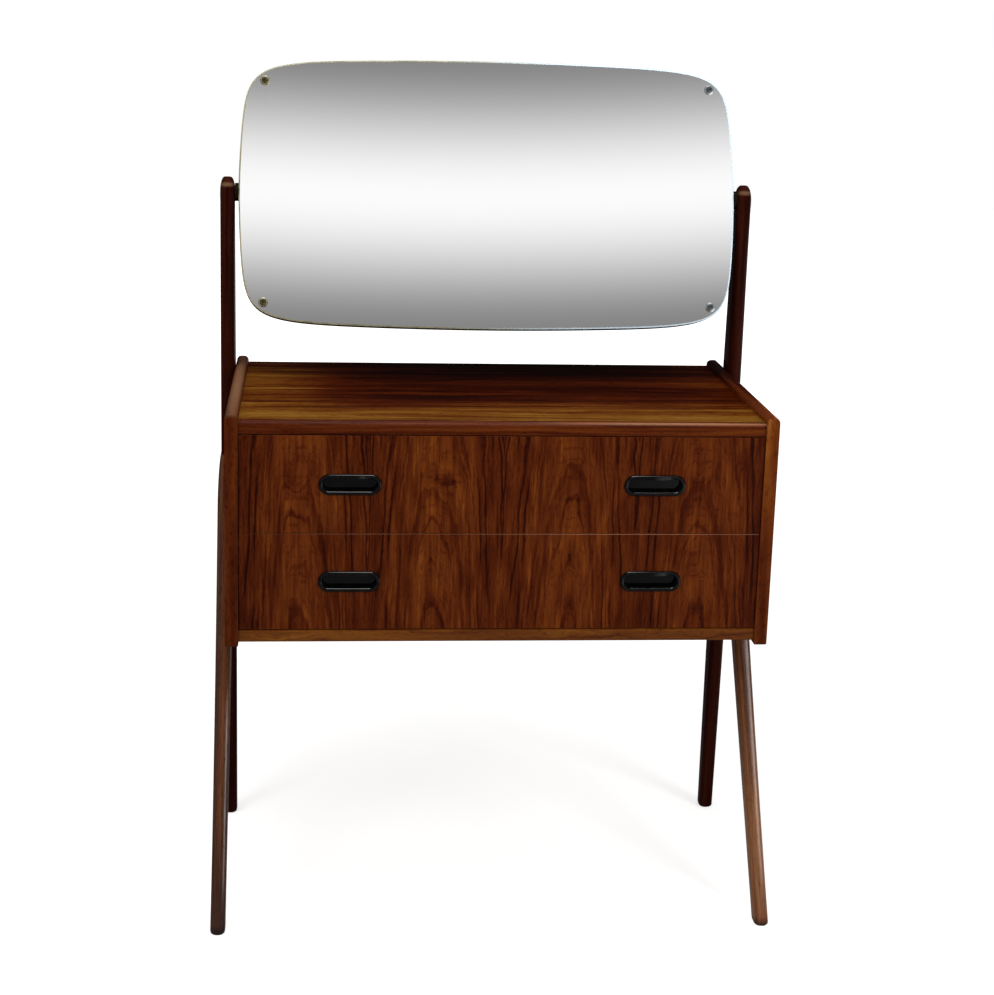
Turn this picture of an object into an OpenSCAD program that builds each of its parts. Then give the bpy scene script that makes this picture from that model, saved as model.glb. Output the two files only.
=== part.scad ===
// Dressing table: a rosewood cabinet with two drawers, hung between side frames that also carry a tilting
// mirror. Millimetres, +Z up. The origin is on the floor, in the middle of the footprint, and the drawers
// open towards -Y.

/* [Cabinet] */
// Width over the two side panels
cabinet_w = 760; // [680:5:900]
// Depth of the side panels
cabinet_d = 410; // [385:5:480]
// Height of the panels' lower edge above the floor
panel_z = 415.5; // [380:0.5:460]
// Height of the side panels
panel_h = 330.5; // [310:0.5:380]
// Thickness of the side panels
panel_t = 18; // [16:1:22]
// How far the panels stand up past the top board
lip_h = 10; // [6:1:16]
// How far the panels reach down past the bottom rail
skirt_h = 7; // [3:1:12]
// Rounding of the panels' top edge, across the panel
panel_top_r = 8; // [3:0.5:8]
// Rounding of the panels' lower edge and front corner
panel_edge_r = 3; // [1:0.5:5]
// Rounding of the panels' upper rear corner, seen from the side
panel_rear_r = 4; // [3:1:25]
// Rounding of the panels' lower corners, seen from the side
panel_foot_r = 5; // [2:1:10]
// How far the top, the rail and the drawer fronts lie behind the panels' front edges
front_setback = 3; // [1:0.5:6]

/* [Boards] */
// Thickness of the top board and its front lipping
top_t = 18; // [15:1:24]
// Depth of the solid lipping in front of the top board
lipping_d = 12; // [8:1:20]
// Rounding of the lipping's upper front edge
lipping_r = 6; // [3:1:8]
// Height of the bottom rail
rail_h = 18; // [14:1:24]
// Depth of the bottom rail
rail_d = 20; // [14:1:30]
// Rounding of the rail's upper front edge
rail_r = 4; // [2:1:6]
// Thickness of the bottom board
bottom_t = 12; // [9:1:16]
// Thickness of the back panel
back_t = 4; // [3:0.5:6]
// Distance from the panels' rear edge to the back panel
back_inset = 10; // [6:1:16]
// Depth of the groove that holds the back panel's edges
back_groove = 6; // [4:1:8]

/* [Drawers] */
// Thickness of the drawer fronts
front_t = 18; // [16:1:22]
// Gap above, between and below the drawer fronts
front_gap = 1; // [0.8:0.1:2.5]
// Gap between the drawers and the side panels
side_gap = 1; // [0.6:0.1:1.6]
// Thickness of the drawer sides
side_t = 14; // [13:0.5:17]
// How far the drawer sides stay below the fronts' upper edge
side_drop = 22; // [16:1:30]
// Height of the sides' lower edge above the front's lower edge
side_lift = 14; // [8:1:18]
// How far the sides are let into the front
side_lap = 8; // [5:0.5:10]
// Thickness of the drawer backs
drawer_back_t = 12; // [9:1:15]
// How far the drawer backs stay below the sides' upper edge
drawer_back_drop = 5; // [2:1:12]
// Thickness of the drawer bottoms
drawer_bottom_t = 4; // [3:0.5:6]
// Depth of the grooves that hold the drawer bottoms
bottom_groove = 5; // [3:0.5:6]
// Height of the drawer bottom above the sides' lower edge
bottom_lift = 8; // [5:1:14]

/* [Runners] */
// How far a runner stands out of the side panel
runner_w = 8; // [6:0.5:9]
// Height of a runner
runner_h = 14; // [10:1:20]
// Length of a runner
runner_len = 340; // [280:5:350]
// Clearance between a runner and the groove that slides on it
runner_play = 0.3; // [0.2:0.1:0.6]
// Depth of the stop blocks behind the drawers
stop_d = 10.7; // [8:0.1:14]
// Height of the stop blocks
stop_h = 30; // [20:1:38]

/* [Pulls] */
// Length of a pull
pull_w = 86; // [70:1:100]
// Height of a pull
pull_h = 29.5; // [26:0.5:36]
// Width of the raised rim
pull_rim = 6; // [4:0.5:8]
// Depth of the finger cup behind the drawer front's face
cup_depth = 11; // [8:0.5:12]
// Wall of the finger cup
cup_wall = 2; // [1.5:0.5:3]
// How far the hood over the finger cup stands out of the drawer front
hood_out = 6; // [4:0.5:9]
// Distance of a pull's middle from the table's middle
pull_x = 210; // [150:5:250]

/* [Side frames] */
// Distance of the front feet's middle in front of the panels' front edge
front_foot_out = 24; // [0:1:40]
// Distance of the rear feet's middle in front of the panels' rear edge
rear_foot_in = 38; // [28:1:60]
// Distance of the posts' heads in front of the panels' rear edge
post_head_in = 62; // [36:1:80]
// Thickness of the posts, across the table
post_t = 21.5; // [18:0.5:26]
// Depth of the posts at the floor
post_foot_d = 26; // [22:1:34]
// Depth of the posts where the front legs join
post_waist_d = 50; // [44:1:60]
// Depth of the posts at the head
post_head_d = 35; // [28:1:40]
// Height of the posts' rounded heads above the pivots
post_head_h = 23; // [16:0.5:26]
// Height of the posts' deepest place
post_waist_z = 620; // [560:5:680]
// Thickness of the front legs at the floor
leg_foot_t = 21; // [18:0.5:26]
// Thickness of the front legs' shoulders, below the joint
leg_shoulder_t = 25.5; // [22:0.5:28]
// Depth of the front legs at the floor, square to the leg
leg_foot_d = 24; // [20:1:30]
// Depth of the front legs at the joint, square to the leg
leg_joint_d = 44; // [36:1:50]
// Height where a front leg's middle line meets its post's
joint_z = 603; // [560:1:640]
// Rounding of the posts' and legs' long edges
frame_r = 8; // [4:0.5:8]
// Rounding of the feet's lower edges
foot_r = 4; // [2:0.5:6]

/* [Mirror] */
// Height of the mirror
mirror_h = 407; // [340:1:440]
// Thickness of the glass
glass_t = 4; // [3:0.5:6]
// Thickness of the backing board
backing_t = 16; // [14:1:20]
// How far the glass stays inside the backing board's outline
glass_margin = 0.4; // [0.2:0.1:2]
// Height of the pivots above the floor
pivot_z = 1006.5; // [960:0.5:1060]
// How far the mirror leans back
mirror_lean = 16; // [0:1:40]
// Thickness of the spacers between the posts and the mirror
spacer_t = 5.2; // [4:0.1:8]
// Diameter of the spacers
spacer_od = 27; // [20:1:30]
// Running clearance beside the spacers and under the pivot bolts' heads
pivot_gap = 0.3; // [0.2:0.1:0.6]
// Distance of the mirror screws from the mirror's side
screw_in_x = 38; // [30:1:60]
// Distance of the mirror screws from the mirror's upper and lower edge
screw_in_z = 37; // [30:1:60]

/* [Fasteners] */
// Diameter of the dowels in the cabinet
dowel_d = 6; // [5:1:8]
// Length of the dowels in the cabinet
dowel_len = 26; // [20:1:32]
// Diameter of the dowels in the leg joints
leg_dowel_d = 8; // [6:1:10]
// Length of the dowels in the leg joints
leg_dowel_len = 52; // [40:1:60]
// Diameter of the screws that hold the side frames
frame_screw_d = 5; // [4:0.5:6]
// Length of the screws that hold the side frames
frame_screw_len = 33; // [28:1:35]
// Diameter of the screws in the runners
runner_screw_d = 3.5; // [3:0.5:4]
// Length of the screws in the runners
runner_screw_len = 20; // [16:1:22]
// Diameter of the screws in the back panel
back_screw_d = 3; // [2.5:0.5:4]
// Length of the screws in the back panel
back_screw_len = 24; // [16:1:30]
// Diameter of the screws through the glass
mirror_screw_d = 4; // [3.5:0.5:5]
// Length of the screws through the glass
mirror_screw_len = 18; // [14:1:19]
// Diameter of the cup washers on the glass
cup_d = 15; // [12:0.5:18]
// Diameter of the pivot bolts
pivot_d = 6; // [5:0.5:8]
// Radial clearance of the pivot bolts in the posts
pivot_play = 0.08; // [0.05:0.01:0.1]
// Length of the threaded inserts in the backing board
insert_len = 25; // [18:1:32]

/* [Hidden] */
$fn = 64;
left = -1;
right = 1;
lower = 0;
upper = 1;

// Colours
front_wood = [0.36, 0.15, 0.06];
top_wood = [0.38, 0.22, 0.10];
edge_wood = [0.40, 0.20, 0.08];
frame_wood = [0.24, 0.10, 0.05];
inner_wood = [0.72, 0.56, 0.38];
pale_ply = [0.76, 0.64, 0.46];
black_plastic = [0.03, 0.03, 0.03];
silver = [0.78, 0.80, 0.82];
brass = [0.72, 0.60, 0.34];
steel = [0.60, 0.61, 0.63];
clear_plastic = [0.86, 0.86, 0.82];

// Heights and widths that follow from the sizes above
panel_x = cabinet_w / 2;
inner_x = panel_x - panel_t;
panel_top = panel_z + panel_h;
top_z = panel_top - lip_h;
opening_top = top_z - top_t;
rail_z = panel_z + skirt_h;
opening_z = rail_z + rail_h;
front_h = (opening_top - opening_z - 3 * front_gap) / 2;
front_w = 2 * (inner_x - side_gap);
side_h = front_h - side_lift - side_drop;
back_y = cabinet_d - back_inset - back_t;
side_end_y = back_y - stop_d - runner_play;
side_x = front_w / 2;
side_inner_x = side_x - side_t;
function drawer_z(level) = opening_z + front_gap + level * (front_h + front_gap);
function side_z(level) = drawer_z(level) + side_lift;
function runner_z(level) = side_z(level) + side_h / 2;
function bottom_z(level) = side_z(level) + bottom_lift;

// Small allowances
overcut = 1;
groove_play = 0.2;
runner_start = front_setback + front_t + 3;

// Dowels, screws and their heads
dowel_margin = 55;
dowel_rows = 4;
dowel_in_panel = 11;
leg_dowel_pitch = 18;
screw_head = 2;
frame_screw_in = 45;
runner_screw_in = 30;
runner_screws_each = 3;
back_screws_across = 5;
back_screw_margin = 60;
slot_w = 1;
slot_depth = 1;
bolt_head_d = 11;
bolt_head_t = 3.2;
washer_d = 13;
washer_t = 1;
counterbore_d = 14;
counterbore_depth = 5.2;
insert_d = 9;
sleeve_d = 7.5;
cup_t = 2.2;
cup_hole_d = 9.6;
screw_dome_d = 9.4;
screw_dome_t = 2.6;
recess_w = 4.6;
recess_depth = 1.8;

// Outline of the mirror: how square its corners are, and the radii that its sides and its long edges bow by
mirror_corner_power = 10;
mirror_side_bow_r = 1450;
mirror_long_bow_r = 7000;
outline_steps = 22;
outline_crowding = 1.5;
outline_half_angle = 41;
mirror_x = panel_x - pivot_gap - spacer_t;
glass_face = backing_t / 2 + glass_t;

// Sections of posts and legs
corner_steps = 5;
post_stations = 12;
leg_stations = 9;
shoulder_at = 0.9;
shoulder_rise = 1.8;
leg_fullness = 1.2;
head_softness = 0.45;
leg_overrun = 7;
leg_bury = 1;
cope_gap = 0.02;

function mix(a, b, t) = a + (b - a) * t;
function ease(t) = t * t * (3 - 2 * t);

// Heights of the rounded foot's rings, how much they draw in, and the same heights followed by even steps
foot_steps = [for (a = [0 : 30 : 90]) foot_r * (1 - cos(a))];
function foot_inset(z) = z >= foot_r ? 0 : foot_r - sqrt(pow(foot_r, 2) - pow(foot_r - z, 2));
function stations(end, count) = concat(foot_steps, [for (i = [1 : count]) mix(foot_r, end, i / count)]);

// The posts: their middle line and depth
rear_foot_y = cabinet_d - rear_foot_in;
post_head_y = cabinet_d - post_head_in;
function post_y(z) = mix(rear_foot_y, post_head_y, z / pivot_z);
function post_depth(z) =
    z < post_waist_z
        ? mix(post_foot_d, post_waist_d, sin(90 * z / post_waist_z))
        : mix(post_waist_d, post_head_d, ease(min(1, (z - post_waist_z) / (pivot_z - post_waist_z))));

// The front legs: their middle line rises from the foot to the post, and their sections are level
leg_slope = (post_y(joint_z) + front_foot_out) / joint_z;
leg_rake = atan(leg_slope);
function leg_y(z) = leg_slope * z - front_foot_out;
function leg_depth(z) = mix(leg_foot_d, leg_joint_d, pow(z / joint_z, leg_fullness)) / cos(leg_rake);
shoulder_z = shoulder_at * joint_z;
leg_end_z = joint_z + leg_overrun;
leg_end_t = post_t - leg_bury;
function leg_t(z) =
    z < shoulder_z
        ? mix(leg_foot_t, leg_shoulder_t, pow(z / shoulder_z, shoulder_rise))
        : mix(leg_end_t, leg_shoulder_t,
              sqrt(max(0, 1 - pow((z - shoulder_z) / (leg_end_z - shoulder_z), 2))));

// Footprint, from the front feet to the mirror's or the panels' rear edge
y_low = min([for (z = foot_steps) leg_y(z) - leg_depth(z) / 2 + foot_inset(z)]);
mirror_rear = post_head_y + mirror_h / 2 * sin(mirror_lean) + backing_t / 2 * cos(mirror_lean);
mid_y = (y_low + max(cabinet_d, mirror_rear)) / 2;

// Moves a piece from the cabinet's front edge to the middle of the footprint
module placed() {
    translate([0, -mid_y, 0])
        children();
}

// Turns a right-hand piece into a left-hand one
module handed(side) {
    mirror([side < 0 ? 1 : 0, 0, 0])
        children();
}

// A plate from x on, whose outline is drawn in Y and Z
module plate_x(x, t) {
    translate([x, 0, 0])
        rotate([90, 0, 90])
            linear_extrude(t)
                children();
}

// A plate from y on, whose outline is drawn in X and Z
module plate_y(y, t) {
    translate([0, y + t, 0])
        rotate([90, 0, 0])
            linear_extrude(t)
                children();
}

// What a rounded corner takes away from a square one at the origin
module corner_waste(r) {
    difference() {
        translate([-overcut, -overcut])
            square(r + overcut);
        translate([r, r])
            circle(r);
    }
}

// A rectangle with a radius for each corner: lower left, lower right, upper right, upper left
module rounded_rect(w, h, radii) {
    difference() {
        square([w, h]);
        corner_waste(radii[0]);
        translate([w, 0])
            rotate(90)
                corner_waste(radii[1]);
        translate([w, h])
            rotate(180)
                corner_waste(radii[2]);
        translate([0, h])
            rotate(270)
                corner_waste(radii[3]);
    }
}

// A shape with two straight sides and round ends
module stadium(w, h) {
    square([w - h, h], center = true);
    for (end = [left, right])
        translate([end * (w - h) / 2, 0])
            circle(d = h);
}

// A level rectangle with rounded corners, at height z
function section(x, y, z, half_x, half_y, r) = [
    let (corner = min(r, 0.9 * min(half_x, half_y)),
         flat_x = half_x - corner,
         flat_y = half_y - corner)
        for (quarter = [0 : 3], step = [0 : corner_steps])
            let (a = 90 * (quarter + step / corner_steps),
                 side_x = quarter == 0 || quarter == 3 ? 1 : -1,
                 side_y = quarter < 2 ? 1 : -1)
                [x + side_x * flat_x + corner * cos(a), y + side_y * flat_y + corner * sin(a), z]
];

// A closed solid through level sections, from the lowest to the highest
module loft(rings) {
    n = len(rings[0]);
    top = (len(rings) - 1) * n;
    sides = [
        for (j = [0 : len(rings) - 2], i = [0 : n - 1])
            let (a = j * n + i,
                 b = j * n + (i + 1) % n)
                each [[a, a + n, b + n], [a, b + n, b]]
    ];
    polyhedron(
        points = [for (ring = rings) each ring],
        faces = concat([[for (i = [0 : n - 1]) i]], [[for (i = [n - 1 : -1 : 0]) top + i]], sides)
    );
}

// A post's rings. The leg is coped to the same shape, a hair larger and reaching further to the rear
function post_rings(grow = 0, rear = 0) = concat(
    [for (z = stations(pivot_z, post_stations))
        section(panel_x + post_t / 2, post_y(z) + rear / 2, z,
                post_t / 2 - foot_inset(z) + grow, (post_depth(z) + rear) / 2 - foot_inset(z) + grow,
                frame_r + grow)],
    [for (a = [15, 30, 45, 60, 72, 82])
        section(panel_x + post_t / 2, post_head_y + rear / 2, pivot_z + post_head_h * sin(a),
                post_t / 2 * pow(cos(a), head_softness) + grow, post_head_d / 2 * cos(a) + rear / 2 + grow,
                frame_r + grow)]
);
function leg_rings() = [
    for (z = concat(stations(shoulder_z, leg_stations),
                    [for (a = [15 : 15 : 90]) mix(shoulder_z, leg_end_z, sin(a))]))
        section(panel_x + leg_t(z) / 2, leg_y(z), z,
                leg_t(z) / 2 - foot_inset(z), leg_depth(z) / 2 - foot_inset(z), frame_r)
];

// A countersunk wood screw along +X, its head flush at the origin
module countersunk_screw(d, len, slotted = true) {
    head_h = d / 2;
    difference() {
        rotate([0, 90, 0])
            union() {
                cylinder(h = head_h, r1 = d, r2 = d / 2);
                cylinder(h = len - d, r = d / 2);
                translate([0, 0, len - d])
                    cylinder(h = d, r1 = d / 2, r2 = d / 8);
            }
        if (slotted)
            translate([-overcut, -d, -slot_w / 2])
                cube([slot_depth + overcut, 2 * d, slot_w]);
    }
}

// Dowels between a side panel and the boards: [y, z] of each
function board_dowel_y(k) = mix(dowel_margin, cabinet_d - dowel_margin, k / (dowel_rows - 1));
dowel_places = concat(
    [for (k = [0 : dowel_rows - 1]) [board_dowel_y(k), top_z - top_t / 2]],
    [for (k = [0 : dowel_rows - 1]) [board_dowel_y(k), opening_z - bottom_t / 2]],
    [[front_setback + rail_d / 2, rail_z + rail_h / 2]]
);
module dowels() {
    for (at = dowel_places)
        translate([inner_x + dowel_in_panel - dowel_len, at[0], at[1]])
            rotate([0, 90, 0])
                cylinder(h = dowel_len, d = dowel_d);
}

// Screws from inside the cabinet into the post and the front leg: [y, z] of each
frame_screw_places = [
    [post_y(panel_top - frame_screw_in), panel_top - frame_screw_in],
    [post_y(panel_z + frame_screw_in), panel_z + frame_screw_in],
    [leg_y(panel_z + frame_screw_in), panel_z + frame_screw_in]
];
module frame_screws(slotted) {
    for (at = frame_screw_places)
        translate([inner_x, at[0], at[1]])
            countersunk_screw(frame_screw_d, frame_screw_len, slotted);
}

// Screws through the runners of one side into its panel
module side_runner_screws(slotted) {
    for (level = [lower, upper], k = [0 : runner_screws_each - 1])
        translate([
            inner_x - runner_w,
            runner_start + mix(runner_screw_in, runner_len - runner_screw_in, k / (runner_screws_each - 1)),
            runner_z(level)
        ])
            countersunk_screw(runner_screw_d, runner_screw_len, slotted);
}

// Dowels that lie along the front leg and end inside the post
leg_dowel_z = joint_z - (post_depth(joint_z) / 2) / leg_slope;
module leg_joint_dowels() {
    for (offset = [-leg_dowel_pitch / 2, leg_dowel_pitch / 2])
        translate([panel_x + post_t / 2, leg_y(leg_dowel_z), leg_dowel_z])
            rotate([-leg_rake, 0, 0])
                translate([0, offset, 0])
                    cylinder(h = leg_dowel_len, d = leg_dowel_d, center = true);
}

// Cabinet
module side_panel(side) {
    color(edge_wood)
        placed()
            handed(side)
                difference() {
                    intersection() {
                        plate_x(inner_x, panel_t)
                            translate([0, panel_z])
                                rounded_rect(cabinet_d, panel_h,
                                             [panel_foot_r, panel_foot_r, panel_rear_r, panel_edge_r]);
                        plate_y(0, cabinet_d)
                            translate([inner_x, panel_z])
                                rounded_rect(panel_t, panel_h,
                                             [panel_edge_r, panel_edge_r, panel_top_r, panel_top_r]);
                    }
                    translate([inner_x - overcut, back_y - groove_play / 2, rail_z])
                        cube([back_groove + overcut, back_t + groove_play, opening_top - rail_z]);
                    dowels();
                    frame_screws(false);
                    side_runner_screws(false);
                }
}
module side_panel_left() { side_panel(left); }
module side_panel_right() { side_panel(right); }

module top_board() {
    color(top_wood)
        placed()
            difference() {
                translate([-inner_x, front_setback + lipping_d, opening_top])
                    cube([2 * inner_x, cabinet_d - front_setback - lipping_d, top_t]);
                for (side = [left, right])
                    handed(side)
                        dowels();
            }
}

module top_lipping() {
    color(top_wood)
        placed()
            plate_x(-inner_x, 2 * inner_x)
                translate([front_setback, opening_top])
                    rounded_rect(lipping_d, top_t, [1, 0.5, 0.5, lipping_r]);
}

module bottom_board() {
    color(inner_wood)
        placed()
            difference() {
                translate([-inner_x, front_setback + rail_d, opening_z - bottom_t])
                    cube([2 * inner_x, back_y - front_setback - rail_d, bottom_t]);
                for (side = [left, right])
                    handed(side)
                        dowels();
                back_screws(false);
            }
}

module bottom_rail() {
    color(edge_wood)
        placed()
            difference() {
                plate_x(-inner_x, 2 * inner_x)
                    translate([front_setback, rail_z])
                        rounded_rect(rail_d, rail_h, [2, 1, 0.5, rail_r]);
                for (side = [left, right])
                    handed(side)
                        dowels();
            }
}

module carcass_dowels() {
    color(pale_ply)
        placed()
            for (side = [left, right])
                handed(side)
                    dowels();
}

module back_panel() {
    half = inner_x + back_groove - groove_play;
    color(pale_ply)
        placed()
            difference() {
                translate([-half, back_y, rail_z])
                    cube([2 * half, back_t, opening_top - rail_z]);
                back_screws(false);
            }
}

// Screws from behind through the back panel into the bottom board's edge
module back_screws(slotted) {
    for (k = [0 : back_screws_across - 1])
        translate([
            mix(back_screw_margin - inner_x, inner_x - back_screw_margin, k / (back_screws_across - 1)),
            back_y + back_t,
            opening_z - bottom_t / 2
        ])
            rotate([0, 0, -90])
                countersunk_screw(back_screw_d, back_screw_len, slotted);
}
module back_panel_screws() {
    color(steel)
        placed()
            back_screws(true);
}

// Runners and stops
module runner(level, side) {
    color(inner_wood)
        placed()
            handed(side)
                difference() {
                    translate([inner_x - runner_w, runner_start, runner_z(level) - runner_h / 2])
                        cube([runner_w, runner_len, runner_h]);
                    side_runner_screws(false);
                }
}
module runner_upper_left() { runner(upper, left); }
module runner_upper_right() { runner(upper, right); }
module runner_lower_left() { runner(lower, left); }
module runner_lower_right() { runner(lower, right); }

module runner_screws() {
    color(steel)
        placed()
            for (side = [left, right])
                handed(side)
                    side_runner_screws(true);
}

module drawer_stops() {
    color(inner_wood)
        placed()
            for (side = [left, right], level = [lower, upper])
                handed(side)
                    translate([inner_x - stop_d, back_y - stop_d, side_z(level) + bottom_lift])
                        cube([stop_d, stop_d, stop_h]);
}

// Side frames
module rear_post(side) {
    color(frame_wood)
        placed()
            handed(side)
                difference() {
                    loft(post_rings());
                    frame_screws(false);
                    leg_joint_dowels();
                    translate([panel_x - overcut, post_head_y, pivot_z])
                        rotate([0, 90, 0])
                            cylinder(h = post_t + 2 * overcut, d = pivot_d + 2 * pivot_play);
                    translate([panel_x + post_t - counterbore_depth, post_head_y, pivot_z])
                        rotate([0, 90, 0])
                            cylinder(h = counterbore_depth + overcut, d = counterbore_d);
                }
}
module rear_post_left() { rear_post(left); }
module rear_post_right() { rear_post(right); }

module front_leg(side) {
    color(frame_wood)
        placed()
            handed(side)
                difference() {
                    loft(leg_rings());
                    loft(post_rings(cope_gap, post_waist_d));
                    frame_screws(false);
                    leg_joint_dowels();
                }
}
module front_leg_left() { front_leg(left); }
module front_leg_right() { front_leg(right); }

module leg_dowels() {
    color(pale_ply)
        placed()
            for (side = [left, right])
                handed(side)
                    leg_joint_dowels();
}

module frame_screws_of(side) {
    color(steel)
        placed()
            handed(side)
                frame_screws(true);
}
module frame_screws_left() { frame_screws_of(left); }
module frame_screws_right() { frame_screws_of(right); }

// Drawers
module pull_pocket(level, side, w, h, depth) {
    translate([side * pull_x, 0, drawer_z(level) + front_h / 2])
        plate_y(front_setback, depth)
            stadium(w, h);
}

module drawer_front(level) {
    color(front_wood)
        placed()
            difference() {
                translate([-front_w / 2, front_setback, drawer_z(level)])
                    cube([front_w, front_t, front_h]);
                for (side = [left, right]) {
                    pull_pocket(level, side, pull_w - pull_rim, pull_h - pull_rim, cup_depth + groove_play);
                    handed(side)
                        translate([side_inner_x, front_setback + front_t - side_lap, side_z(level)])
                            cube([side_t + overcut, side_lap + overcut, side_h]);
                }
                drawer_bottom_blank(level, groove_play / 2);
            }
}
module upper_drawer_front() { drawer_front(upper); }
module lower_drawer_front() { drawer_front(lower); }

module drawer_side(level, side) {
    color(inner_wood)
        placed()
            handed(side)
                difference() {
                    translate([side_inner_x, front_setback + front_t - side_lap, side_z(level)])
                        cube([side_t, side_end_y - front_setback - front_t + side_lap, side_h]);
                    translate([
                        inner_x - runner_w - runner_play,
                        runner_start - runner_play,
                        runner_z(level) - runner_h / 2 - runner_play
                    ])
                        cube([runner_w, side_end_y, runner_h + 2 * runner_play]);
                    drawer_bottom_blank(level, groove_play / 2);
                }
}
module upper_drawer_side_left() { drawer_side(upper, left); }
module upper_drawer_side_right() { drawer_side(upper, right); }
module lower_drawer_side_left() { drawer_side(lower, left); }
module lower_drawer_side_right() { drawer_side(lower, right); }

module drawer_back(level) {
    foot = bottom_z(level) + drawer_bottom_t;
    color(inner_wood)
        placed()
            translate([-side_inner_x, side_end_y - drawer_back_t, foot])
                cube([2 * side_inner_x, drawer_back_t, side_z(level) + side_h - drawer_back_drop - foot]);
}
module upper_drawer_back() { drawer_back(upper); }
module lower_drawer_back() { drawer_back(lower); }

// The drawer's bottom board, or the grooves for it when it is made larger
module drawer_bottom_blank(level, grow) {
    half = side_inner_x + bottom_groove - groove_play;
    start = front_setback + front_t - bottom_groove + groove_play;
    translate([-half - grow, start - grow, bottom_z(level) - grow])
        cube([2 * (half + grow), side_end_y - start + 2 * grow, drawer_bottom_t + 2 * grow]);
}
module drawer_bottom(level) {
    color(pale_ply)
        placed()
            drawer_bottom_blank(level, 0);
}
module upper_drawer_bottom() { drawer_bottom(upper); }
module lower_drawer_bottom() { drawer_bottom(lower); }

// A recessed pull: a rounded rim on the drawer's face, a finger cup behind it and a bowed hood over the cup
pull_straight = pull_w - pull_h;
rim_mid = (pull_h - pull_rim) / 2;
cup_w = pull_w - pull_rim - groove_play;
cup_h = pull_h - pull_rim - groove_play;
hood_r = (pow(pull_straight / 2, 2) + pow(hood_out, 2)) / (2 * hood_out);

// The rim's section, its flat back on the drawer's face
module rim_section() {
    translate([rim_mid, 0])
        intersection() {
            circle(pull_rim / 2);
            translate([-pull_rim, 0])
                square([2 * pull_rim, pull_rim]);
        }
}

// The hood's outline in X and Y, from the face outwards
module hood_outline(bow) {
    intersection() {
        translate([0, hood_r - bow])
            circle(hood_r, $fn = 256);
        translate([-pull_w / 2, -2 * hood_out])
            square([pull_w, 2 * hood_out]);
    }
}

module pull(level, side) {
    color(black_plastic)
        placed()
            translate([side * pull_x, front_setback, drawer_z(level) + front_h / 2])
                union() {
                    for (end = [left, right])
                        handed(end)
                            translate([pull_straight / 2, 0, 0])
                                rotate([90, 0, 0])
                                    intersection() {
                                        rotate_extrude()
                                            rim_section();
                                        translate([0, -pull_h, -overcut])
                                            cube([pull_h, 2 * pull_h, pull_rim]);
                                    }
                    for (edge = [0, 180])
                        rotate([0, edge, 0])
                            translate([-pull_straight / 2, 0, 0])
                                rotate([90, 0, 90])
                                    linear_extrude(pull_straight)
                                        rotate(90)
                                            rim_section();
                    plate_y(0, cup_depth - cup_wall)
                        difference() {
                            stadium(cup_w, cup_h);
                            stadium(cup_w - 2 * cup_wall, cup_h - 2 * cup_wall);
                        }
                    plate_y(cup_depth - cup_wall, cup_wall)
                        stadium(cup_w, cup_h);
                    translate([0, 0, rim_mid - pull_rim / 2 + groove_play])
                        linear_extrude(pull_rim - 2 * groove_play - 1)
                            hood_outline(hood_out);
                }
}
module upper_pull_left() { pull(upper, left); }
module upper_pull_right() { pull(upper, right); }
module lower_pull_left() { pull(lower, left); }
module lower_pull_right() { pull(lower, right); }

// Mirror, drawn about its pivot line and leaned back
module leaned() {
    placed()
        translate([0, post_head_y, pivot_z])
            rotate([-mirror_lean, 0, 0])
                children();
}

// A quarter of the mirror's outline, crowded towards the corner, whose sides and long edges bow. The
// outline is flat across the pivots, where the spacers sit
outline_angles = [
    for (i = [1 : 2 * outline_steps])
        let (t = (2 * i - 1) / (2 * outline_steps) - 1)
            45 + outline_half_angle * sign(t) * pow(abs(t), outline_crowding)
];
function outline_point(a, half_w, half_h) =
    let (c = cos(a),
         s = sin(a),
         k = pow(pow(c, mirror_corner_power) + pow(s, mirror_corner_power), -1 / mirror_corner_power),
         x = half_w * k * c,
         z = half_h * k * s)
        [x - z * z / (2 * mirror_side_bow_r), z - x * x / (2 * mirror_long_bow_r)];
module mirror_outline(margin) {
    last = len(outline_angles) - 1;
    points = [
        for (quarter = [0 : 3], i = [0 : last])
            let (p = outline_point(outline_angles[quarter % 2 == 0 ? i : last - i],
                                   mirror_x - margin, mirror_h / 2 - margin))
                [(quarter == 0 || quarter == 3 ? 1 : -1) * p[0], (quarter < 2 ? 1 : -1) * p[1]]
    ];
    // starts at a corner, where the outline turns most
    polygon([for (i = [0 : len(points) - 1]) points[(i + outline_steps) % len(points)]]);
}

screw_x = mirror_x - screw_in_x;
screw_z = mirror_h / 2 - screw_in_z;
module at_mirror_screws() {
    for (x = [left, right], z = [-1, 1])
        translate([x * screw_x, -glass_face, z * screw_z])
            rotate([0, 0, 90])
                children();
}

module mirror_glass() {
    color(silver)
        leaned()
            difference() {
                plate_y(-glass_face, glass_t)
                    mirror_outline(glass_margin);
                at_mirror_screws()
                    translate([-overcut, 0, 0])
                        rotate([0, 90, 0])
                            cylinder(h = glass_t + 2 * overcut, d = sleeve_d);
            }
}

module mirror_backing() {
    color(frame_wood)
        leaned()
            difference() {
                plate_y(-backing_t / 2, backing_t)
                    mirror_outline(0);
                at_mirror_screws()
                    rotate([0, 90, 0])
                        cylinder(h = mirror_screw_len, d = mirror_screw_d);
                for (side = [left, right])
                    handed(side)
                        translate([mirror_x - insert_len, 0, 0])
                            rotate([0, 90, 0])
                                cylinder(h = insert_len + overcut, d = insert_d);
            }
}

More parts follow.
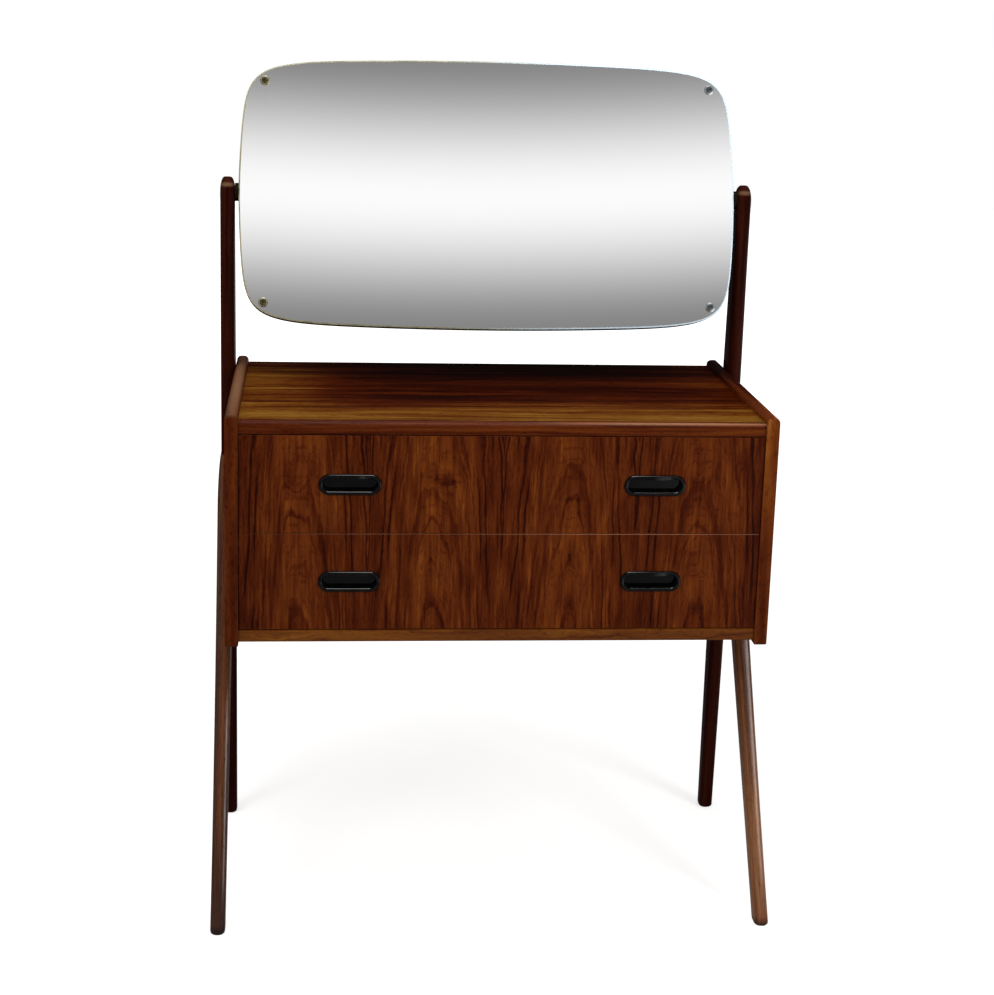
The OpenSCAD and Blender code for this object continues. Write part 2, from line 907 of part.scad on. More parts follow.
module mirror_screws() {
    color(brass)
        leaned()
            at_mirror_screws()
                difference() {
                    union() {
                        rotate([0, 90, 0])
                            cylinder(h = mirror_screw_len, d = mirror_screw_d);
                        translate([-cup_t, 0, 0])
                            rotate([0, -90, 0])
                                rotate_extrude()
                                    intersection() {
                                        translate([0, screw_dome_t - screw_dome_d])
                                            circle(screw_dome_d);
                                        square([screw_dome_d / 2, screw_dome_t]);
                                    }
                        translate([-cup_t, 0, 0])
                            rotate([0, 90, 0])
                                cylinder(h = cup_t, d = mirror_screw_d);
                    }
                    for (turn = [45, 135])
                        rotate([turn, 0, 0])
                            translate([-cup_t - screw_dome_t - overcut, -recess_w / 2, -slot_w / 2])
                                cube([overcut + recess_depth, recess_w, slot_w]);
                }
}

module mirror_cup_washers() {
    color(brass)
        leaned()
            at_mirror_screws()
                rotate([0, -90, 0])
                    rotate_extrude()
                        polygon([
                            [mirror_screw_d / 2, 0], [cup_d / 2, 0], [cup_d / 2, 0.5],
                            [cup_hole_d / 2 + 0.4, cup_t + 0.8], [cup_hole_d / 2, cup_t + 0.8],
                            [cup_hole_d / 2, cup_t], [mirror_screw_d / 2, cup_t]
                        ]);
}

module mirror_sleeves() {
    color(clear_plastic)
        leaned()
            at_mirror_screws()
                rotate([0, 90, 0])
                    difference() {
                        cylinder(h = glass_t, d = sleeve_d);
                        translate([0, 0, -overcut])
                            cylinder(h = glass_t + 2 * overcut, d = mirror_screw_d);
                    }
}

// Pivots, on a line along X through the posts' heads
module on_pivot(side) {
    placed()
        handed(side)
            translate([0, post_head_y, pivot_z])
                rotate([0, 90, 0])
                    children();
}
bolt_seat = panel_x + post_t - counterbore_depth + washer_t + pivot_gap;

module pivot_bolt(side) {
    color(steel)
        on_pivot(side)
            difference() {
                union() {
                    translate([0, 0, mirror_x - insert_len])
                        cylinder(h = bolt_seat - mirror_x + insert_len, d = pivot_d);
                    translate([0, 0, bolt_seat])
                        cylinder(h = bolt_head_t, d = bolt_head_d);
                }
                translate([-bolt_head_d, -slot_w / 2, bolt_seat + bolt_head_t - slot_depth])
                    cube([2 * bolt_head_d, slot_w, slot_depth + overcut]);
            }
}
module pivot_bolt_left() { pivot_bolt(left); }
module pivot_bolt_right() { pivot_bolt(right); }

// A flat ring from z on, along the pivot line
module flat_ring(z, t, outer, inner) {
    translate([0, 0, z])
        difference() {
            cylinder(h = t, d = outer);
            translate([0, 0, -overcut])
                cylinder(h = t + 2 * overcut, d = inner);
        }
}

module pivot_insert(side) {
    color(brass)
        on_pivot(side)
            flat_ring(mirror_x - insert_len, insert_len, insert_d, pivot_d);
}
module pivot_insert_left() { pivot_insert(left); }
module pivot_insert_right() { pivot_insert(right); }

module pivot_spacer(side) {
    color(black_plastic)
        on_pivot(side)
            flat_ring(mirror_x, spacer_t, spacer_od, pivot_d);
}
module pivot_spacer_left() { pivot_spacer(left); }
module pivot_spacer_right() { pivot_spacer(right); }

module pivot_washers() {
    color(brass)
        for (side = [left, right])
            on_pivot(side)
                flat_ring(panel_x + post_t - counterbore_depth, washer_t, washer_d, pivot_d + 4 * pivot_play);
}

side_panel_left();
side_panel_right();
top_board();
top_lipping();
bottom_board();
bottom_rail();
back_panel();
back_panel_screws();
carcass_dowels();
runner_upper_left();
runner_upper_right();
runner_lower_left();
runner_lower_right();
runner_screws();
drawer_stops();
rear_post_left();
rear_post_right();
front_leg_left();
front_leg_right();
leg_dowels();
frame_screws_left();
frame_screws_right();
pivot_washers();
upper_drawer_front();
upper_drawer_side_left();
upper_drawer_side_right();
upper_drawer_back();
upper_drawer_bottom();
upper_pull_left();
upper_pull_right();
lower_drawer_front();
lower_drawer_side_left();
lower_drawer_side_right();
lower_drawer_back();
lower_drawer_bottom();
lower_pull_left();
lower_pull_right();
mirror_glass();
mirror_backing();
mirror_screws();
mirror_cup_washers();
mirror_sleeves();
pivot_bolt_left();
pivot_bolt_right();
pivot_insert_left();
pivot_insert_right();
pivot_spacer_left();
pivot_spacer_right();
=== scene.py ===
"""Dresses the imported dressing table: rosewood case and frames, black pulls and a tilting mirror."""

import logging
import math
from dataclasses import dataclass, replace
from enum import Enum

import bmesh
import bpy
from mathutils import Matrix, Vector

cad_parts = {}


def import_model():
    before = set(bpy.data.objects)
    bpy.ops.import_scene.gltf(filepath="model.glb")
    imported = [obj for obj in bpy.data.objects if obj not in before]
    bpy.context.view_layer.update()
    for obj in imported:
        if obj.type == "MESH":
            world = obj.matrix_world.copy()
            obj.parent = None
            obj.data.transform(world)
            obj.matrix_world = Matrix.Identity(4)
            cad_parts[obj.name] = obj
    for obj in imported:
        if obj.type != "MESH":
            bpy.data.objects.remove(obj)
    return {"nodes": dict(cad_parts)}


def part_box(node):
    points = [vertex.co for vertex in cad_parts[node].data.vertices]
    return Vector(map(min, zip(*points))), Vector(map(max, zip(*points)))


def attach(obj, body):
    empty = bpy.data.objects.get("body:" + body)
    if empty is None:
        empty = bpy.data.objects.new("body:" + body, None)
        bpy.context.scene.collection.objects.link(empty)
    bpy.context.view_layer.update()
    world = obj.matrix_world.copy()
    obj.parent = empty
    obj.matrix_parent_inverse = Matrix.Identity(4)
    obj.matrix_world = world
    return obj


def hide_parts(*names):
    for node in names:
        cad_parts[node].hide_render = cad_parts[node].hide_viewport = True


LOG = logging.getLogger("dressing_table")
MILLIMETRE = 0.001
WELD = 1e-6
ALL = 9.0  # reach of a patch that takes in the whole table, in metres

Triple = tuple[float, float, float]
# where a change starts and ends, and the levels before and after it
Span = tuple[float, float, float, float]
Shades = tuple[tuple[float, str], ...]
Piece = bpy.types.Object
Finish = bpy.types.Material
Node = bpy.types.Node
Socket = bpy.types.NodeSocket


class Side(Enum):
    """An end of the table, with the sign of its x."""

    LEFT = -1
    RIGHT = 1

    @property
    def word(self) -> str:
        """The side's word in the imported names."""
        return self.name.lower()


class Level(Enum):
    """A drawer's place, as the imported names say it."""

    UPPER = "upper"
    LOWER = "lower"


class Lie(Enum):
    """Which of the table's axes run across, through and along a board's grain."""

    UPRIGHT = "XYZ"
    SIDE = "YXZ"
    FLAT = "YZX"
    EDGE = "ZYX"
    SIDE_DEEP = "ZXY"


def linear(code: str) -> tuple[float, float, float, float]:
    """Turns an sRGB hex colour into the linear colour that a shader takes.

    Args:
        code: six hex digits with a leading hash.

    Returns:
        Red, green, blue and an alpha of 1, in linear light.
    """
    parts = (int(code[i : i + 2], 16) / 255 for i in (1, 3, 5))
    red, green, blue = (p / 12.92 if p <= 0.04045 else ((p + 0.055) / 1.055) ** 2.4 for p in parts)
    return red, green, blue, 1.0


def stand(name: str, data: bpy.types.ID) -> Piece:
    """Puts a mesh, a lamp or the camera in the scene.

    Args:
        name: the object's name.
        data: what it shows.

    Returns:
        The object.
    """
    piece = bpy.data.objects.new(name, data)
    bpy.context.scene.collection.objects.link(piece)
    return piece


class Shader:
    """The node tree of a material or the world, and the only way that this file adds a node to one."""

    def __init__(self, owner: Finish | bpy.types.World) -> None:
        """Empties the owner's tree.

        Args:
            owner: the material or the world.
        """
        owner.use_nodes = True
        self.tree = owner.node_tree
        self.tree.nodes.clear()

    def add(self, kind: str, inputs: dict | tuple = (), **settings: object) -> Node:
        """Adds one node with its settings and what feeds it.

        Args:
            kind: the node's type without its ShaderNode prefix.
            inputs: nodes, sockets or plain values, in the inputs' order or by their names or numbers.
            settings: attribute values; stops gives a colour ramp's positions and colours.

        Returns:
            The new node.
        """
        node = self.tree.nodes.new("ShaderNode" + kind)
        for key, value in settings.items():
            if key != "stops":
                setattr(node, key, value)
                continue
            elements = node.color_ramp.elements
            while len(elements) < len(value):
                elements.new(0.5)
            for element, (position, colour) in zip(elements, value):
                element.position = position
                element.color = colour
        for key, value in inputs.items() if isinstance(inputs, dict) else enumerate(inputs):
            if isinstance(value, Node):
                value = value.outputs[0]
            if isinstance(value, Socket):
                self.tree.links.new(value, node.inputs[key])
            else:
                node.inputs[key].default_value = value
        return node


# Settings that many nodes share.
EASED = {"interpolation_type": "SMOOTHSTEP"}
SUM = {"operation": "ADD"}
PRODUCT = {"operation": "MULTIPLY"}
ADDED = {"operation": "MULTIPLY_ADD"}
DOT = {"operation": "DOT_PRODUCT"}
LENGTH = {"operation": "LENGTH"}


@dataclass(frozen=True)
class Streaks:
    """One size of streak in a board's grain.

    Attributes:
        wide_mm: its width across the grain.
        long_mm: its length along the grain.
        depth: how far it moves the tone.
        detail: octaves of finer noise.
        rings: whether it follows the growth rings, or runs straight.
    """

    wide_mm: float
    long_mm: float
    depth: float
    detail: float = 1.0
    rings: bool = True


@dataclass(frozen=True)
class Leaf:
    """A flat-sliced veneer leaf, laid side by side with mirrored copies of itself.

    Attributes:
        width: its width, in metres.
        crown: where the growth rings crown, from its inner edge, in metres.
        depth: distance from the log's pith to the cut, at the leaf's foot, in metres.
        foot: height of that foot, in metres.
        taper: how much further the pith is for each metre up.
        heart: where the pale heart ends and the dark border is full, in metres from the crown.
        border: how much darker the border is.
        veins: share of the dark lines that the heart shows, and what the border adds.
    """

    width: float = 0.185
    crown: float = 0.0925
    depth: float = 0.012
    foot: float = 0.43
    taper: float = 0.13
    heart: tuple[float, float] = (0.022, 0.08)
    border: float = 0.1
    veins: tuple[float, float] = (0.65, 0.5)


@dataclass(frozen=True)
class Patch:
    """A soft spot that is darker or paler than around it, for the wood's own figure and for painted light and
    shade.

    Attributes:
        centre: its centre in the table, in metres.
        reach: how far it reaches along x, y and z, in metres.
        change: how far it moves the tone at its centre.
        swell: how far it pushes the growth rings aside, in metres.
        ragged: how irregular its border is, as a share of its reach.
        wear_and_highlight: whether it turns the wood to the dry colour instead, by that change; real wear and
            painted highlights both use it.
    """

    centre: Triple
    reach: Triple
    change: float
    swell: float = 0.0
    ragged: float = 0.0
    wear_and_highlight: bool = False


@dataclass(frozen=True)
class Timber:
    """Wood with a satin finish: streaks along one grain, fine fibres and open pores.

    Attributes:
        name: the material's name.
        lie: how the board lies in the table.
        shades: positions and hex colours of its tones, dark to pale.
        layers: the streaks, broad ones first.
        wander_mm: how far the streaks stray sideways.
        vein_mm: spacing of the thin dark lines.
        vein_depth: how dark these lines are.
        tone: the middle tone.
        drift: change of tone per metre along x, y and z.
        turn: turn in degrees that brings a leaning piece's grain upright.
        shift: offset in metres to another piece of the log.
        roughness: the finish's roughness.
        sheen: its specular level.
        leaf: set for a crown-cut veneer.
        patches: knots, dark glue lines, worn spots, and painted shade, reflections and highlights.
        arris: how far the arrises are worn through to dry wood.
        dry: hex colour of that dry wood, also given to the painted highlights.
        capped: whether a strip with lengthways grain covers the upper edge.
        rounding_mm: how far from an edge the shading already turns.
    """

    name: str
    lie: Lie
    shades: Shades
    layers: tuple[Streaks, ...]
    wander_mm: float = 6.0
    vein_mm: float = 7.0
    vein_depth: float = 0.2
    tone: float = 0.5
    drift: Triple = (0.0, 0.0, 0.0)
    turn: Triple = (0.0, 0.0, 0.0)
    shift: Triple = (0.0, 0.0, 0.0)
    roughness: float = 0.42
    sheen: float = 0.05
    leaf: Leaf | None = None
    patches: tuple[Patch, ...] = ()
    arris: float = 0.0
    dry: str = "#9a6a4c"
    capped: bool = False
    rounding_mm: float = 0.0

    def build(self) -> Finish:
        """Builds the material."""
        return WoodShader(self).build()


class WoodShader(Shader):
    """The tree of one timber: the board's axes, its streaks, veins and patches, and its worn finish."""

    # real fibres and pores are 0.1 to 0.3 mm wide, too fine to show, so these are drawn coarser
    FIBRES = Streaks(1.1, 45.0, 0.16, 2.0)
    PORES = Streaks(0.9, 9.0, -0.14, 0.0)
    PIT_DEPTH = 0.7
    RELIEF_MM = 0.4
    RELIEF = 0.12
    # the grain's long and short bends; their depth is a share of the timber's wander
    LONG_BENDS = Streaks(45.0, 260.0, 2.0, 2.0)
    SHORT_BENDS = Streaks(13.0, 34.0, 0.55, 2.0)
    STRAIGHT_BENDS = 0.3
    # a streak is a thin band of the log, so it is several times as deep as it is wide
    BAND_DEPTH = 4
    VEIN_LONG_MM = 320.0
    # levels of the noise between which a pore opens, a vein darkens and a fibre turns from glossy to dull
    PIT = (0.6, 0.72)
    VEIN = (0.54, 0.66)
    DULL = (0.3, 0.7)
    # the slope's cosine at which a strip's rounded top starts, and those of an arris and a flat face
    CAP = 0.35
    ARRIS = (0.8, 0.985)
    # how far the fibres move the roughness, from glossy to dull
    GLOSSY = -0.05
    DULLER = 0.07
    # waves of a ragged border for each reach of its patch, and of uneven wear for each metre
    TORN = 2.3
    WEAR = 14.0

    def __init__(self, timber: Timber) -> None:
        """Starts a timber's material, with the coordinates that its patterns read.

        Args:
            timber: what it is a material of.
        """
        self.timber = timber
        self.material = bpy.data.materials.new(timber.name)
        super().__init__(self.material)
        coordinates = self.add("TexCoord").outputs
        self.place, self.normal = coordinates["Object"], coordinates["Normal"]

    def build(self) -> Finish:
        """Colours the grain, and finishes it with pores, sheen and relief.

        Returns:
            The material.
        """
        timber = self.timber
        grain, board, heart = self.lay_grain()
        tone = self.tone(grain, board, heart)
        fibre = self.streaks(grain, self.FIBRES)
        pores = self.streaks(grain, self.PORES)
        pit = self.add("MapRange", (pores, *self.PIT), **EASED)
        tone = self.add("Math", (fibre, self.FIBRES.depth, tone), **ADDED)
        tone = self.add("Math", (pit, self.PORES.depth, tone), use_clamp=True, **ADDED)
        stops = [(position, linear(code)) for position, code in timber.shades]
        colour = self.add("ValToRGB", {"Fac": tone}, stops=stops).outputs["Color"]
        wear_and_highlight = self.wear_and_highlight()
        if wear_and_highlight is not None:
            mixed = {0: wear_and_highlight, 6: colour, 7: linear(timber.dry)}
            colour = self.add("Mix", mixed, data_type="RGBA").outputs[2]
        rough = (fibre, *self.DULL, timber.roughness + self.GLOSSY, timber.roughness + self.DULLER)
        relief = self.add("Math", (pit, -self.PIT_DEPTH, fibre), **ADDED)
        surface = {"Strength": self.RELIEF, "Distance": self.RELIEF_MM * MILLIMETRE, "Height": relief}
        if timber.rounding_mm:
            surface["Normal"] = self.add("Bevel", {"Radius": timber.rounding_mm * MILLIMETRE}, samples=8)
        skin = {
            "Base Color": colour,
            "Roughness": self.add("MapRange", rough),
            "Specular IOR Level": timber.sheen,
            "Normal": self.add("Bump", surface),
        }
        self.add("OutputMaterial", {"Surface": self.add("BsdfPrincipled", skin)})
        return self.material

    def streaks(self, axes: Node | Socket, size: Streaks) -> Node:
        """Noise of one size of streak.

        Args:
            axes: the board's axes, in metres.
            size: the streak's size.

        Returns:
            The noise.
        """
        wide = 1 / (size.wide_mm * MILLIMETRE)
        steps = (wide, wide / self.BAND_DEPTH, 1 / (size.long_mm * MILLIMETRE))
        scaled = self.add("VectorMath", (axes, steps), **PRODUCT)
        return self.add("TexNoise", {"Vector": scaled, "Scale": 1.0, "Detail": size.detail})

    def lay_grain(self) -> tuple[Node, Node, Node | None]:
        """Lays the board's own axes: distance through the growth rings, through the board, along the grain.

        Returns:
            The vector of those three, the same one measured straight across the board, and how far
            a spot is from its leaf's crown, if it is a leaf.
        """
        timber = self.timber
        turn = tuple(math.radians(angle) for angle in timber.turn)
        turned = self.add("Mapping", {"Vector": self.place, "Location": timber.shift, "Rotation": turn})
        axes = self.add("SeparateXYZ", (turned,)).outputs
        across, through, along = (axes[axis] for axis in timber.lie.value)
        board = self.add("CombineXYZ", (across, through, along)).outputs[0]
        if timber.capped:
            up = self.add("SeparateXYZ", (self.normal,)).outputs["Z"]
            above = self.add("Math", (up, self.CAP), operation="GREATER_THAN")
            strip = self.add("CombineXYZ", (axes["X"], axes["Z"], axes["Y"]))
            board = self.add("Mix", {0: above, 4: board, 5: strip}, data_type="VECTOR").outputs[1]
            capped = self.add("SeparateXYZ", (board,)).outputs
            across, along = capped["X"], capped["Z"]
        rings, heart = self.crown(across, along) if timber.leaf else (across, None)
        long_bends = self.streaks(board, self.LONG_BENDS)
        short_bends = self.streaks(board, self.SHORT_BENDS)
        wander = timber.wander_mm * MILLIMETRE
        bent = self.add("Math", (long_bends, wander * self.LONG_BENDS.depth, rings), **ADDED)
        bent = self.add("Math", (short_bends, wander * self.SHORT_BENDS.depth, bent), **ADDED)
        straight = self.add("Math", (short_bends, wander * self.STRAIGHT_BENDS, across), **ADDED)
        grain = self.add("CombineXYZ", (bent, through, along))
        return grain, self.add("CombineXYZ", (straight, through, along)), heart

    def crown(self, across: Socket, along: Socket) -> tuple[Node | Socket, Node]:
        """Distance through the rings of a crown-cut leaf: arches up its middle, lines along its borders.

        Args:
            across: distance across the leaves.
            along: distance along the leaves.

        Returns:
            The distance through the rings, and the distance from the crown's middle line.
        """
        leaf = self.timber.leaf
        folded = self.add("Math", (across, leaf.width), operation="PINGPONG")
        off = self.add("Math", (folded, leaf.crown), operation="SUBTRACT")
        start = leaf.depth - leaf.taper * leaf.foot
        deep = self.add("Math", (along, leaf.taper, start), **ADDED)
        cut = self.add("CombineXYZ", (off, deep))
        rings = self.add("VectorMath", (cut,), **LENGTH).outputs["Value"]
        for patch in self.timber.patches:
            if patch.swell:
                rings = self.add("Math", (self.spot(patch), patch.swell, rings), **ADDED)
        return rings, self.add("Math", (off,), operation="ABSOLUTE")

    def spot(self, patch: Patch) -> Node:
        """A soft spot that is 1 at a patch's centre and 0 past its reach.

        Args:
            patch: the patch.

        Returns:
            The spot.
        """
        gap = self.add("VectorMath", (self.place, patch.centre), operation="SUBTRACT")
        share = self.add("VectorMath", (gap, patch.reach), operation="DIVIDE")
        far = self.add("VectorMath", (share,), **LENGTH).outputs["Value"]
        if patch.ragged:
            torn = self.add("TexNoise", {"Vector": share, "Scale": self.TORN, "Detail": 3.0})
            torn = self.add("Math", (torn, 0.5), operation="SUBTRACT")
            far = self.add("Math", (torn, patch.ragged * 2, far), **ADDED)
        return self.add("MapRange", (far, 0.0, 1.0, 1.0, 0.0), **EASED)

    def tone(self, grain: Node, board: Node, heart: Node | None) -> Node:
        """Adds up the streaks, the dark veins, the patches and the drift across the board.

        Args:
            grain: the board's axes, through the growth rings.
            board: the board's axes, straight across it.
            heart: distance from the leaf's crown, if it is a leaf.

        Returns:
            The tone.
        """
        timber = self.timber
        drift = self.add("VectorMath", (self.place, timber.drift), **DOT).outputs["Value"]
        start = timber.tone - sum(layer.depth for layer in (*timber.layers, self.FIBRES)) / 2
        tone = self.add("Math", (drift, start), **SUM)
        for layer in timber.layers:
            streaks = self.streaks(grain if layer.rings else board, layer)
            tone = self.add("Math", (streaks, layer.depth, tone), **ADDED)
        vein = self.streaks(grain, Streaks(timber.vein_mm, self.VEIN_LONG_MM, timber.vein_depth))
        line = self.add("MapRange", (vein, *self.VEIN, 0.0, -timber.vein_depth), **EASED)
        if heart is not None:
            # the heart of a leaf is pale and calm, its borders are dark and closely lined
            leaf = timber.leaf
            border = self.add("MapRange", (heart, *leaf.heart), **EASED)
            share = self.add("Math", (border, leaf.veins[1], leaf.veins[0]), **ADDED)
            line = self.add("Math", (line, share), **PRODUCT)
            tone = self.add("Math", (border, -leaf.border, tone), **ADDED)
        tone = self.add("Math", (tone, line), **SUM)
        for patch in timber.patches:
            if not patch.wear_and_highlight:
                tone = self.add("Math", (self.spot(patch), patch.change, tone), **ADDED)
        return tone

    def wear_and_highlight(self) -> Node | None:
        """How far the colour turns to dry wood: worn along the arrises, and in the patches that say so, some
        of them painted highlights.

        Returns:
            The share of dry wood, if there is any.
        """
        wear_and_highlight = None
        if self.timber.arris:
            slant = self.add("VectorMath", (self.normal,), operation="ABSOLUTE")
            slant = self.add("SeparateXYZ", (slant,)).outputs
            most = self.add("Math", (slant["X"], slant["Y"]), operation="MAXIMUM")
            most = self.add("Math", (most, slant["Z"]), operation="MAXIMUM")
            slope = self.add("MapRange", (most, *self.ARRIS, 2 * self.timber.arris, 0.0))
            uneven = self.add("TexNoise", {"Vector": self.place, "Scale": self.WEAR, "Detail": 3.0})
            wear_and_highlight = self.add("Math", (slope, uneven), use_clamp=True, **PRODUCT)
        for patch in self.timber.patches:
            if patch.wear_and_highlight:
                spot = (self.spot(patch), patch.change, wear_and_highlight or 0.0)
                wear_and_highlight = self.add("Math", spot, use_clamp=True, **ADDED)
        return wear_and_highlight


@dataclass(frozen=True)
class Smooth:
    """A moulded, turned or coated surface: one colour with faint mottling, wear and micro-scratches.

    Attributes:
        name: the material's name.
        colour: hex colour.
        worn: hex colour of worn or tarnished patches.
        metallic: 1 for bare metal.
        roughness: typical roughness.
        spread: how much the roughness varies.
        patch_mm: size of the worn patches.
        patches: share of the surface that is worn.
        scratch_mm: spacing of the scratches, drawn coarser than real ones so that they show.
        bump: strength of their relief.
        specular: specular level.
        right: hex colour that it turns to at the table's right end, if it does, as painted cool light.
        turn: x at which that change starts and is full.
    """

    name: str
    colour: str
    worn: str
    metallic: float = 0.0
    roughness: float = 0.3
    spread: float = 0.08
    patch_mm: float = 6.0
    patches: float = 0.3
    scratch_mm: float = 0.6
    bump: float = 0.08
    specular: float = 0.5
    right: str = ""
    turn: tuple[float, float] = (-0.1, 0.2)

    # levels of the noise between which a surface with no worn share would wear
    WORN = (0.62, 0.72)
    # the scratches run along x, and are this deep in metres
    ALONG = (0.35, 1.0, 1.0)
    DEEP = 0.0002

    def build(self) -> Finish:
        """Builds the material.

        Returns:
            The material.
        """
        material = bpy.data.materials.new(self.name)
        shader = Shader(material)
        place = shader.add("TexCoord").outputs["Object"]
        noise = {"Vector": place, "Scale": 1 / (self.patch_mm * MILLIMETRE), "Detail": 3.0, "Roughness": 0.6}
        patch = shader.add("TexNoise", noise)
        starts, full = self.WORN
        worn = (patch, starts - self.patches / 2, full - self.patches / 4)
        worn = shader.add("MapRange", worn, **EASED)
        mixed = {0: worn, 6: linear(self.colour), 7: linear(self.worn)}
        colour = shader.add("Mix", mixed, data_type="RGBA").outputs[2]
        if self.right:
            side = shader.add("SeparateXYZ", (place,)).outputs["X"]
            turn = shader.add("MapRange", (side, *self.turn), **EASED)
            mixed = {0: turn, 6: colour, 7: linear(self.right)}
            colour = shader.add("Mix", mixed, data_type="RGBA").outputs[2]
        stretched = shader.add("VectorMath", (place, self.ALONG), **PRODUCT)
        noise = {"Vector": stretched, "Scale": 1 / (self.scratch_mm * MILLIMETRE), "Detail": 1.0}
        relief = {"Strength": self.bump, "Distance": self.DEEP, "Height": shader.add("TexNoise", noise)}
        rough = (patch, self.spread * 2, self.roughness - self.spread)
        skin = {
            "Base Color": colour,
            "Metallic": self.metallic,
            "Roughness": shader.add("Math", rough, use_clamp=True, **ADDED),
            "Specular IOR Level": self.specular,
            "Normal": shader.add("Bump", relief),
        }
        shader.add("OutputMaterial", {"Surface": shader.add("BsdfPrincipled", skin)})
        return material


@dataclass(frozen=True)
class Silvering:
    """The pane's silvered face: a near-perfect mirror with the faint haze of old glass.

    Attributes:
        name: the material's name.
        colour: hex colour.
        haze_mm: size of the hazy patches.
        haze: roughness, by their noise.
    """

    name: str = "silvered_glass"
    colour: str = "#fcfbfb"
    haze_mm: float = 90.0
    haze: Span = (0.35, 0.7, 0.004, 0.02)

    def build(self) -> Finish:
        """Builds the material.

        Returns:
            The material.
        """
        material = bpy.data.materials.new(self.name)
        shader = Shader(material)
        place = shader.add("TexCoord").outputs["Object"]
        noise = {"Vector": place, "Scale": 1 / (self.haze_mm * MILLIMETRE), "Detail": 3.0}
        rough = shader.add("MapRange", (shader.add("TexNoise", noise), *self.haze))
        skin = {"Base Color": linear(self.colour), "Metallic": 1.0, "Roughness": rough}
        shader.add("OutputMaterial", {"Surface": shader.add("BsdfPrincipled", skin)})
        return material


# Rosewood tone scales, near-black streaks to pale sapwood side. Oiled rosewood is a deep red-brown
# whose darkest lines are almost black and whose open grain looks orange-brown.
FRONT_SHADES = (
    (0.0, "#1e0400"), (0.2, "#340c01"), (0.38, "#431602"), (0.55, "#522106"),
    (0.72, "#612c09"), (0.88, "#723b10"), (1.0, "#8a5424"),
)
TOP_SHADES = (
    (0.0, "#0e0100"), (0.2, "#260600"), (0.4, "#3e1402"),
    (0.6, "#5c340a"), (0.8, "#7a561e"), (1.0, "#927038"),
)
POST_SHADES = ((0.0, "#140000"), (0.35, "#220502"), (0.65, "#301006"), (1.0, "#48220f"))
LEG_SHADES = ((0.0, "#1a0703"), (0.35, "#361a0b"), (0.65, "#593118"), (1.0, "#7e5232"))
RAIL_SHADES = ((0.0, "#0c0300"), (0.3, "#461a02"), (0.55, "#5c2f07"), (0.8, "#74430f"), (1.0, "#8c5c24"))
INNER_SHADES = ((0.0, "#8a6a44"), (0.4, "#b8966a"), (0.7, "#cdb088"), (1.0, "#dcc4a0"))
BEECH_SHADES = ((0.0, "#96683e"), (0.4, "#bd8f60"), (0.7, "#cfa578"), (1.0, "#dfbc94"))
BIRCH_SHADES = ((0.0, "#a5855c"), (0.4, "#c9ab80"), (0.7, "#d8bf98"), (1.0, "#e6d2b0"))

ROSEWOOD_STREAKS = (Streaks(34.0, 700.0, 0.4), Streaks(9.0, 420.0, 0.6, 2.0), Streaks(3.2, 120.0, 0.55))
TOP_STREAKS = (Streaks(60.0, 500.0, 0.4), Streaks(16.0, 300.0, 0.55, 2.0), Streaks(5.0, 120.0, 0.3))
CROWN_STREAKS = (
    Streaks(26.0, 400.0, 0.2),
    Streaks(7.0, 200.0, 0.5, 2.0),
    Streaks(3.2, 50.0, 0.55, rings=False),
    Streaks(14.0, 60.0, 0.6, 2.0, rings=False),
)
POST_STREAKS = (Streaks(18.0, 600.0, 0.4), Streaks(6.0, 320.0, 0.6, 2.0), Streaks(2.2, 110.0, 0.3))
PLAIN_STREAKS = (Streaks(26.0, 500.0, 0.35), Streaks(5.0, 200.0, 0.3))


